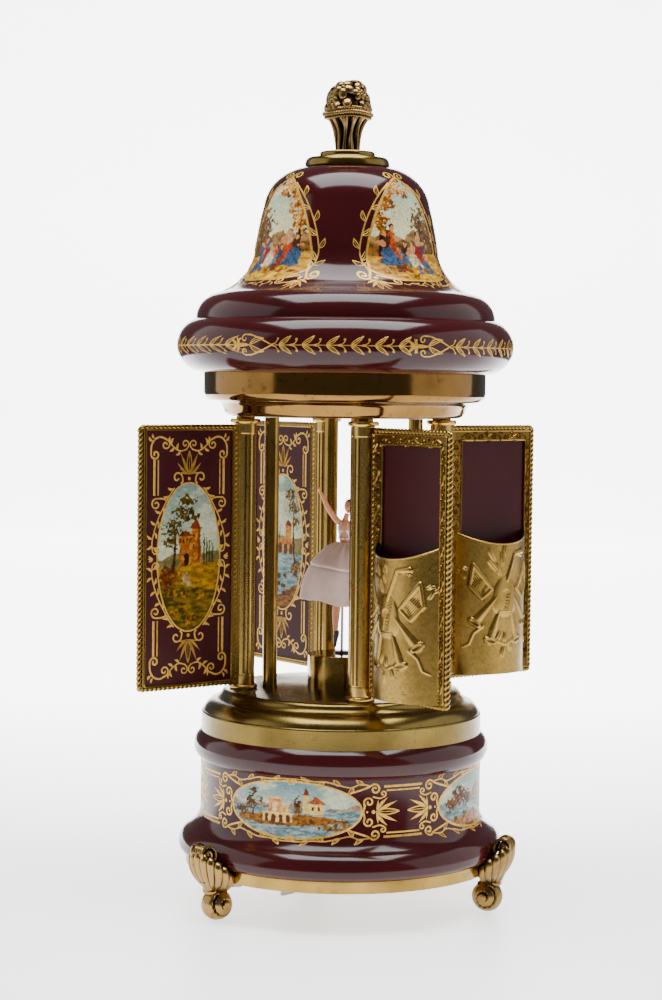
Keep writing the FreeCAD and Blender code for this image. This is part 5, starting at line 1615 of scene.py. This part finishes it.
def bouquet():
    """Cast basket of flowers that is the box's knob."""
    casting = Casting()

    # fluted basket stems, with painted shade in the flutes
    rows, columns = 46, 220
    level = np.linspace(0, 1, rows)[:, None]
    theta = ring_angles(columns)[None, :]
    z = SEAT_HIGH + 0.25 + 15.0 * level
    radius = 5.5 + 1.1 * level + 3.3 * level ** 3.2
    sway = 0.55 * np.sin(level * 5 + 2.0 * np.sin(theta * 2))
    ridge = np.abs(np.sin(theta * 5.5 + sway))
    fine = np.abs(np.sin(theta * 16 + 2 * sway))
    depth = (1 - ridge) ** 1.1
    skin = radius * (1 - 0.27 * depth * (0.4 + 0.6 * np.sin(math.pi * level) ** 0.5) - 0.035 * (1 - fine))
    points = np.stack([skin * np.cos(theta), skin * np.sin(theta), z + 0 * theta], -1).reshape(-1, 3)
    shade = np.clip(depth * 1.7 + 0.25 * (1 - fine), 0, 1).ravel()
    casting.add((points, grid_faces(rows, columns, True).tolist()), shade)

    # twisted rim and a heart in painted shade under the flowers
    ring = np.radians(np.arange(0, 360, 1.2))
    for level_z, thick, away, pitch in ((354.7, 1.15, 10.5, 2.2), (356.6, 0.95, 9.9, 1.9),
                                        (353.0, 0.6, 10.2, 2.2)):
        path = np.stack([away * np.cos(ring), away * np.sin(ring), level_z + 0.35 * np.sin(ring * 3)], -1)
        casting.add(rope(path, thick, pitch))
    casting.add(blob((0, 0, 358.5), (8.6, 8.6, 9.0), rows=20, columns=30), 0.8)

    # flower heads over the dome of the bouquet, big ones between small ones
    rng = np.random.default_rng(11)
    flowers = 11
    for k in range(flowers):
        height = 1 - (k + 0.15) / flowers * 0.93
        turn = GOLDEN_TURN * k + 0.9
        flat = math.sqrt(max(0, 1 - height ** 2))
        out = np.array([flat * math.cos(turn), flat * math.sin(turn), 0.05 + 0.75 * height])
        size = rng.uniform(5.0, 6.0) if k % 2 == 0 else rng.uniform(3.8, 4.6)
        stretch = rng.uniform(0.88, 1.10)
        centre = np.array([8.7 * flat * math.cos(turn) * stretch, 8.7 * flat * math.sin(turn) * stretch,
                           357.6 + (FULL_HIGH - 360.0) * height ** 0.65 * stretch])
        blossom(casting, centre, out, size, turn)
    leaves = 11
    for k in range(leaves):
        turn = TAU * k / leaves + 0.2 * math.sin(k * 2.3)
        centre = (9.3 * math.cos(turn), 9.3 * math.sin(turn), 358.6 + 0.8 * math.sin(k * 1.7))
        casting.add(blob(centre, (1.2, 2.2, 2.8), math.degrees(turn), -35), 0.1)
    points, faces, shade = casting.mesh()
    away = np.hypot(points[:, 0], points[:, 1])
    points[:, :2] *= np.minimum(1, BOUQUET_R / np.maximum(away, 0.01))[:, None]
    points[:, 2] = np.minimum(points[:, 2], FULL_HIGH - 0.05)
    made = make_piece("flower_basket", points, faces, CAST, "finial", painted_shade=shade)
    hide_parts("finial_bouquet")


# ------------------------------------------------------------ dancer

TOE = DRUM_HIGH + 2.7


def limb(stations, sides=16, steps=7):
    """Smooth limb through (x, y, height above the toe, radius) stations."""
    path = flow([(x, y, TOE + z, radius) for x, y, z, radius in stations], steps)
    return tube(path[:, :3], np.maximum(path[:, 3], 0.25), sides)


def lump(x, y, z, radii, rows=10, columns=14, dent=None):
    """Rounded lump of the figure, its height measured from the toe."""
    return blob((x, y, TOE + z), radii, rows=rows, columns=columns, dent=dent)


def strand(spots, radius, sides):
    """Thin round strand through (x, y, height above the toe) spots."""
    return tube([(x, y, TOE + z) for x, y, z in spots], radius, sides)


def doll_part(name, parts, material):
    """One painted part of the figure, bent back a little above the waist and turned to the front."""
    points, faces = joined(parts)
    points[:, 0] -= 1.7 * np.clip((points[:, 2] - TOE - 44) / 10, 0, 1)
    made = make_piece(name, turn_z(points, CAMERA_AZIMUTH), faces, material, "dancer")
    return made


def dancer():
    """Plastic ballerina on one toe: body, hair, lips, shoe and ribbons."""
    standing_leg = limb([(-2.9, 0, 5.6, 1.05), (-2.9, 0, 9, 1.2), (-2.7, 0, 17, 1.85), (-2.2, 0, 23, 1.7),
                         (-1.6, 0, 30, 2.1), (0.2, 0, 43, 2.6)])
    bent_leg = limb([(1.2, 1.5, 43, 2.4), (4.4, 6.2, 31.4, 1.9), (1.8, 11.2, 27.2, 1.2),
                     (0.4, 14.2, 26, 0.7)])
    trunk = limb([(1.0, 0, 43.4, 2.9), (1.5, 0, 47.5, 2.4), (1.7, 0, 50, 2.5), (2.2, 0, 54.4, 3.0),
                  (2.5, 0, 56.6, 2.4), (2.8, 0, 58.4, 1.35), (3.5, 0, 61, 1.15)])
    raised_arm = limb([(1.0, 0, 56.4, 1.3), (-0.9, -0.3, 57.6, 1.45), (-3.2, -0.7, 60.4, 1.3),
                       (-5.4, -1.0, 63.8, 1.2), (-7.4, -1.3, 67.8, 0.95), (-8.8, -1.4, 70.6, 0.62),
                       (-9.6, -1.4, 72.2, 0.72), (-10.1, -1.4, 73.2, 0.35)])
    low_arm = limb([(3.4, 0, 56.4, 1.3), (5.6, -0.3, 55.8, 1.45), (8.0, -0.8, 54.2, 1.25),
                    (10.4, -1.2, 53.2, 1.1), (12.6, -2.1, 55.2, 0.9), (14.6, -3.0, 57.5, 0.62),
                    (15.6, -3.2, 58.6, 0.4)])
    head = lump(4.3, -0.1, 64.0, (2.15, 2.45, 3.0), 20, 24)
    nose = lump(3.9, -2.45, 63.7, (0.35, 0.45, 0.5), 7, 9)
    body = doll_part("dancer_body", [standing_leg, bent_leg, trunk, raised_arm, low_arm, head, nose], SKIN)
    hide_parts("dancer_figure")

    def hairline(phi, theta):
        """Draws the scalp in where the face is."""
        return np.where((np.sin(theta) < -0.2) & (phi > 0.95), 0.80, 1.0)

    scalp = lump(4.5, 0.25, 64.7, (2.35, 2.5, 2.75), 20, 24, hairline)
    bun = lump(5.0, 2.3, 65.2, (1.2, 0.9, 1.2))
    brows = [strand([(3.3 + k * 1.35, -2.30, 64.5), (3.9 + k * 1.35, -2.42, 64.7)], 0.12, 6) for k in (0, 1)]
    hair = plain_material("dark_hair", (0.020, 0.013, 0.010), 0.35)
    doll_part("dancer_hair", [scalp, bun] + brows, hair)
    red = plain_material("painted_lips", (0.50, 0.05, 0.04), 0.35)
    doll_part("dancer_lips", [lump(4.1, -2.15, 62.2, (0.6, 0.25, 0.22), 7, 10)], red)
    shoe = limb([(-3.0, 0, 0.2, 0.5), (-3.0, 0, 2.0, 0.85), (-2.8, 0, 4.4, 1.15), (-2.5, 0, 6.2, 1.35),
                 (-2.7, 0, 7.6, 1.28)])
    heel = limb([(-2.2, 0, 6.8, 0.9), (-1.3, 0, 6.0, 0.4)], 10, 4)
    doll_part("dancer_shoe", [shoe, heel], plain_material("black_shoe", (0.012, 0.012, 0.015), 0.3))
    silver = plain_material("silver_ribbon", (0.66, 0.67, 0.70), 0.28, 0.8)
    around = np.radians(np.arange(0, 361, 12))
    waistband = [(1.7 + 2.62 * math.cos(a), 2.62 * math.sin(a), 49.6) for a in around]
    strap = flow([(-0.6, -1.5, 50.2), (0.3, -2.6, 53.4), (0.9, -1.9, 56.8), (1.0, 0.2, 57.4)], 5)
    other_strap = flow([(3.6, -1.6, 50.2), (3.4, -2.7, 53.4), (3.6, -1.6, 56.6), (3.4, 0.2, 57.2)], 5)
    bodice = [strand(waistband, 0.42, 8), strand(strap, 0.40, 8), strand(other_strap, 0.40, 8),
              lump(0.6, -2.3, 53.2, (0.9, 0.55, 0.9), 8, 10), lump(3.4, -2.5, 53.2, (0.9, 0.55, 0.9), 8, 10)]
    doll_part("dancer_straps", bodice, silver)


SKIRT_LONG = 27.0


def skirt():
    """Full skirt gathered at the waist, with a tuck that makes a deep band above the hem."""
    rows, columns = 76, 240
    share = np.linspace(0, 1, rows)[:, None]
    theta = ring_angles(columns)[None, :]
    drop = SKIRT_LONG * (0.06 * share + 0.94 * share ** 1.35)
    spread = 3.3 + 14.4 * np.sin(math.pi / 2 * np.clip(share * 1.12, 0, 1)) ** 0.85
    gathers = 0.55 * np.sin(17 * theta + 1.2 * np.sin(3 * theta))
    gathers = gathers * np.clip(1 - share * 2.2, 0, 1) * np.clip(share * 8, 0, 1)
    folds = 0.75 * np.sin(6 * theta + 0.8 * np.sin(2 * theta)) + 0.35 * np.sin(11 * theta + 2)
    folds = folds * share * (1.1 - 0.5 * share)
    band = np.clip((share - 0.52) / 0.025, 0, 1)
    step = -0.55 * band * np.clip(1.6 - share, 0, 1) - 0.55 * np.exp(-((share - 0.53) / 0.018) ** 2)
    radius = spread + gathers + folds + step
    hem = 0.5 * np.sin(6 * theta + 1.4) * share ** 2
    outer = np.stack([radius * np.cos(theta), radius * np.sin(theta), -drop + hem], -1).reshape(-1, 3)
    points = leaned(outer, 8) + (2.0, 0, DRUM_HIGH + 50.2)
    faces = grid_faces(rows, columns, True)[:, ::-1].tolist()
    made = make_piece("satin_skirt", turn_z(points, CAMERA_AZIMUTH), faces, SATIN, "dancer")
    thick = made.modifiers.new("cloth thickness", "SOLIDIFY")
    thick.thickness = 0.35 * MM
    thick.offset = 0
    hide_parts("dancer_skirt")


# ------------------------------------------------------------ stage, light and camera

PAPER_GLOW = (1.4, 5.5)
PAPER_BACK = 2.7
BOX_MIDDLE = (0, 0, 0.18)
CAMERA_AWAY = 1008
CAMERA_HIGH = 237.3
CAMERA_DOWN = 3.16
CAMERA_ROLL = 0.65
CAMERA_SHIFT = math.atan(12.5 / 2230)


def polar(angle, away, height):
    """Point in metres at an angle round the box, distance and height in millimetres."""
    turn = math.radians(angle)
    return Vector((away * math.cos(turn), away * math.sin(turn), height)) * MM


def softbox(name, angle, away, height, wide, tall, power):
    """Rectangular studio light that faces the middle of the box."""
    light = bpy.data.lights.new(name, "AREA")
    light.shape = "RECTANGLE"
    light.size = wide * MM
    light.size_y = tall * MM
    light.energy = power
    lamp = bpy.data.objects.new(name, light)
    bpy.context.scene.collection.objects.link(lamp)
    lamp.location = polar(angle, away, height)
    lamp.rotation_euler = (Vector(BOX_MIDDLE) - lamp.location).to_track_quat("-Z", "Y").to_euler()


def stage_piece(name, vertices, faces, material):
    """Smooth mesh in metres that belongs to the stage, not to the box."""
    mesh = bpy.data.meshes.new(name)
    mesh.from_pydata([tuple(v) for v in vertices], [], faces)
    mesh.materials.append(material)
    mesh.shade_smooth()
    made = bpy.data.objects.new(name, mesh)
    bpy.context.scene.collection.objects.link(made)
    return made


def paper_material():
    """White paper that glows from behind; the glow is weaker round the box so its shadow shows."""
    shader = Shader("white_paper", Roughness=0.45)
    shader.out.inputs["Base Color"].default_value = (0.93, 0.93, 0.93, 1)
    shader.out.inputs["Emission Color"].default_value = (1, 1, 1, 1)
    glow = shader.node("ShaderNodeAttribute")
    glow.attribute_name = "glow"
    shader.link(glow.outputs["Fac"], shader.out.inputs["Emission Strength"])
    return shader.material


def seamless():
    """White paper that runs from under the box up behind it."""
    turn = math.radians(CAMERA_AZIMUTH)
    back = np.array([-math.sin(turn), math.cos(turn), 0])
    side = np.array([math.cos(turn), math.sin(turn), 0])
    line = [(along, 0.0) for along in np.linspace(-0.5, PAPER_BACK - 0.5, 56)]
    for a in np.linspace(0.1, math.pi / 2, 14):
        line.append((PAPER_BACK - 0.5 + 0.5 * math.sin(a), 0.5 - 0.5 * math.cos(a)))
    line += [(PAPER_BACK, 1.3)]
    spread = np.linspace(-0.68, 0.68, 32)
    vertices = np.array([back * along + side * across + (0, 0, height - 0.0004)
                         for along, height in line for across in spread])
    faces = grid_faces(len(line), len(spread)).tolist()
    behind = vertices @ back
    made = stage_piece("paper_sweep", vertices, faces, paper_material())
    glow = made.data.attributes.new("glow", "FLOAT", "POINT")
    rise = np.clip((behind - 0.1) / 0.55, 0, 1)
    glow.data.foreach_set("value", PAPER_GLOW[0] + (PAPER_GLOW[1] - PAPER_GLOW[0]) * rise)


def lights():
    """Two side softboxes, one from above and a dim even surround."""
    view = CAMERA_AZIMUTH - 90
    softbox("left_box", view - 92, 1050, 430, 1500, 1200, 7.5)
    softbox("right_box", view + 88, 1050, 430, 1500, 1200, 7)
    softbox("top_box", view, 130, 1300, 1200, 800, 33)
    world = bpy.data.worlds.new("studio")
    world.use_nodes = True
    world.node_tree.nodes["Background"].inputs["Color"].default_value = (0.62, 0.62, 0.62, 1)
    world.node_tree.nodes["Background"].inputs["Strength"].default_value = 0.24
    bpy.context.scene.world = world


def camera():
    """The photograph's view, fitted to it."""
    lens = bpy.data.cameras.new("front_camera")
    lens.lens = 80.28
    lens.sensor_width = 36
    lens.sensor_fit = "AUTO"
    eye = bpy.data.objects.new("front_camera", lens)
    bpy.context.scene.collection.objects.link(eye)
    eye.location = polar(CAMERA_AZIMUTH - 90, CAMERA_AWAY, CAMERA_HIGH)
    yaw = math.radians(CAMERA_AZIMUTH) + CAMERA_SHIFT
    turned = Matrix.Rotation(yaw, 3, "Z") @ Matrix.Rotation(math.radians(90 - CAMERA_DOWN), 3, "X")
    rolled = turned @ Matrix.Rotation(math.radians(CAMERA_ROLL), 3, "Z")
    eye.rotation_euler = rolled.to_euler()
    bpy.context.scene.camera = eye


case_pieces()
finish_nodes()
doors()
shell_ornament()
feet()
bouquet()
dancer()
skirt()
seamless()
lights()
camera()
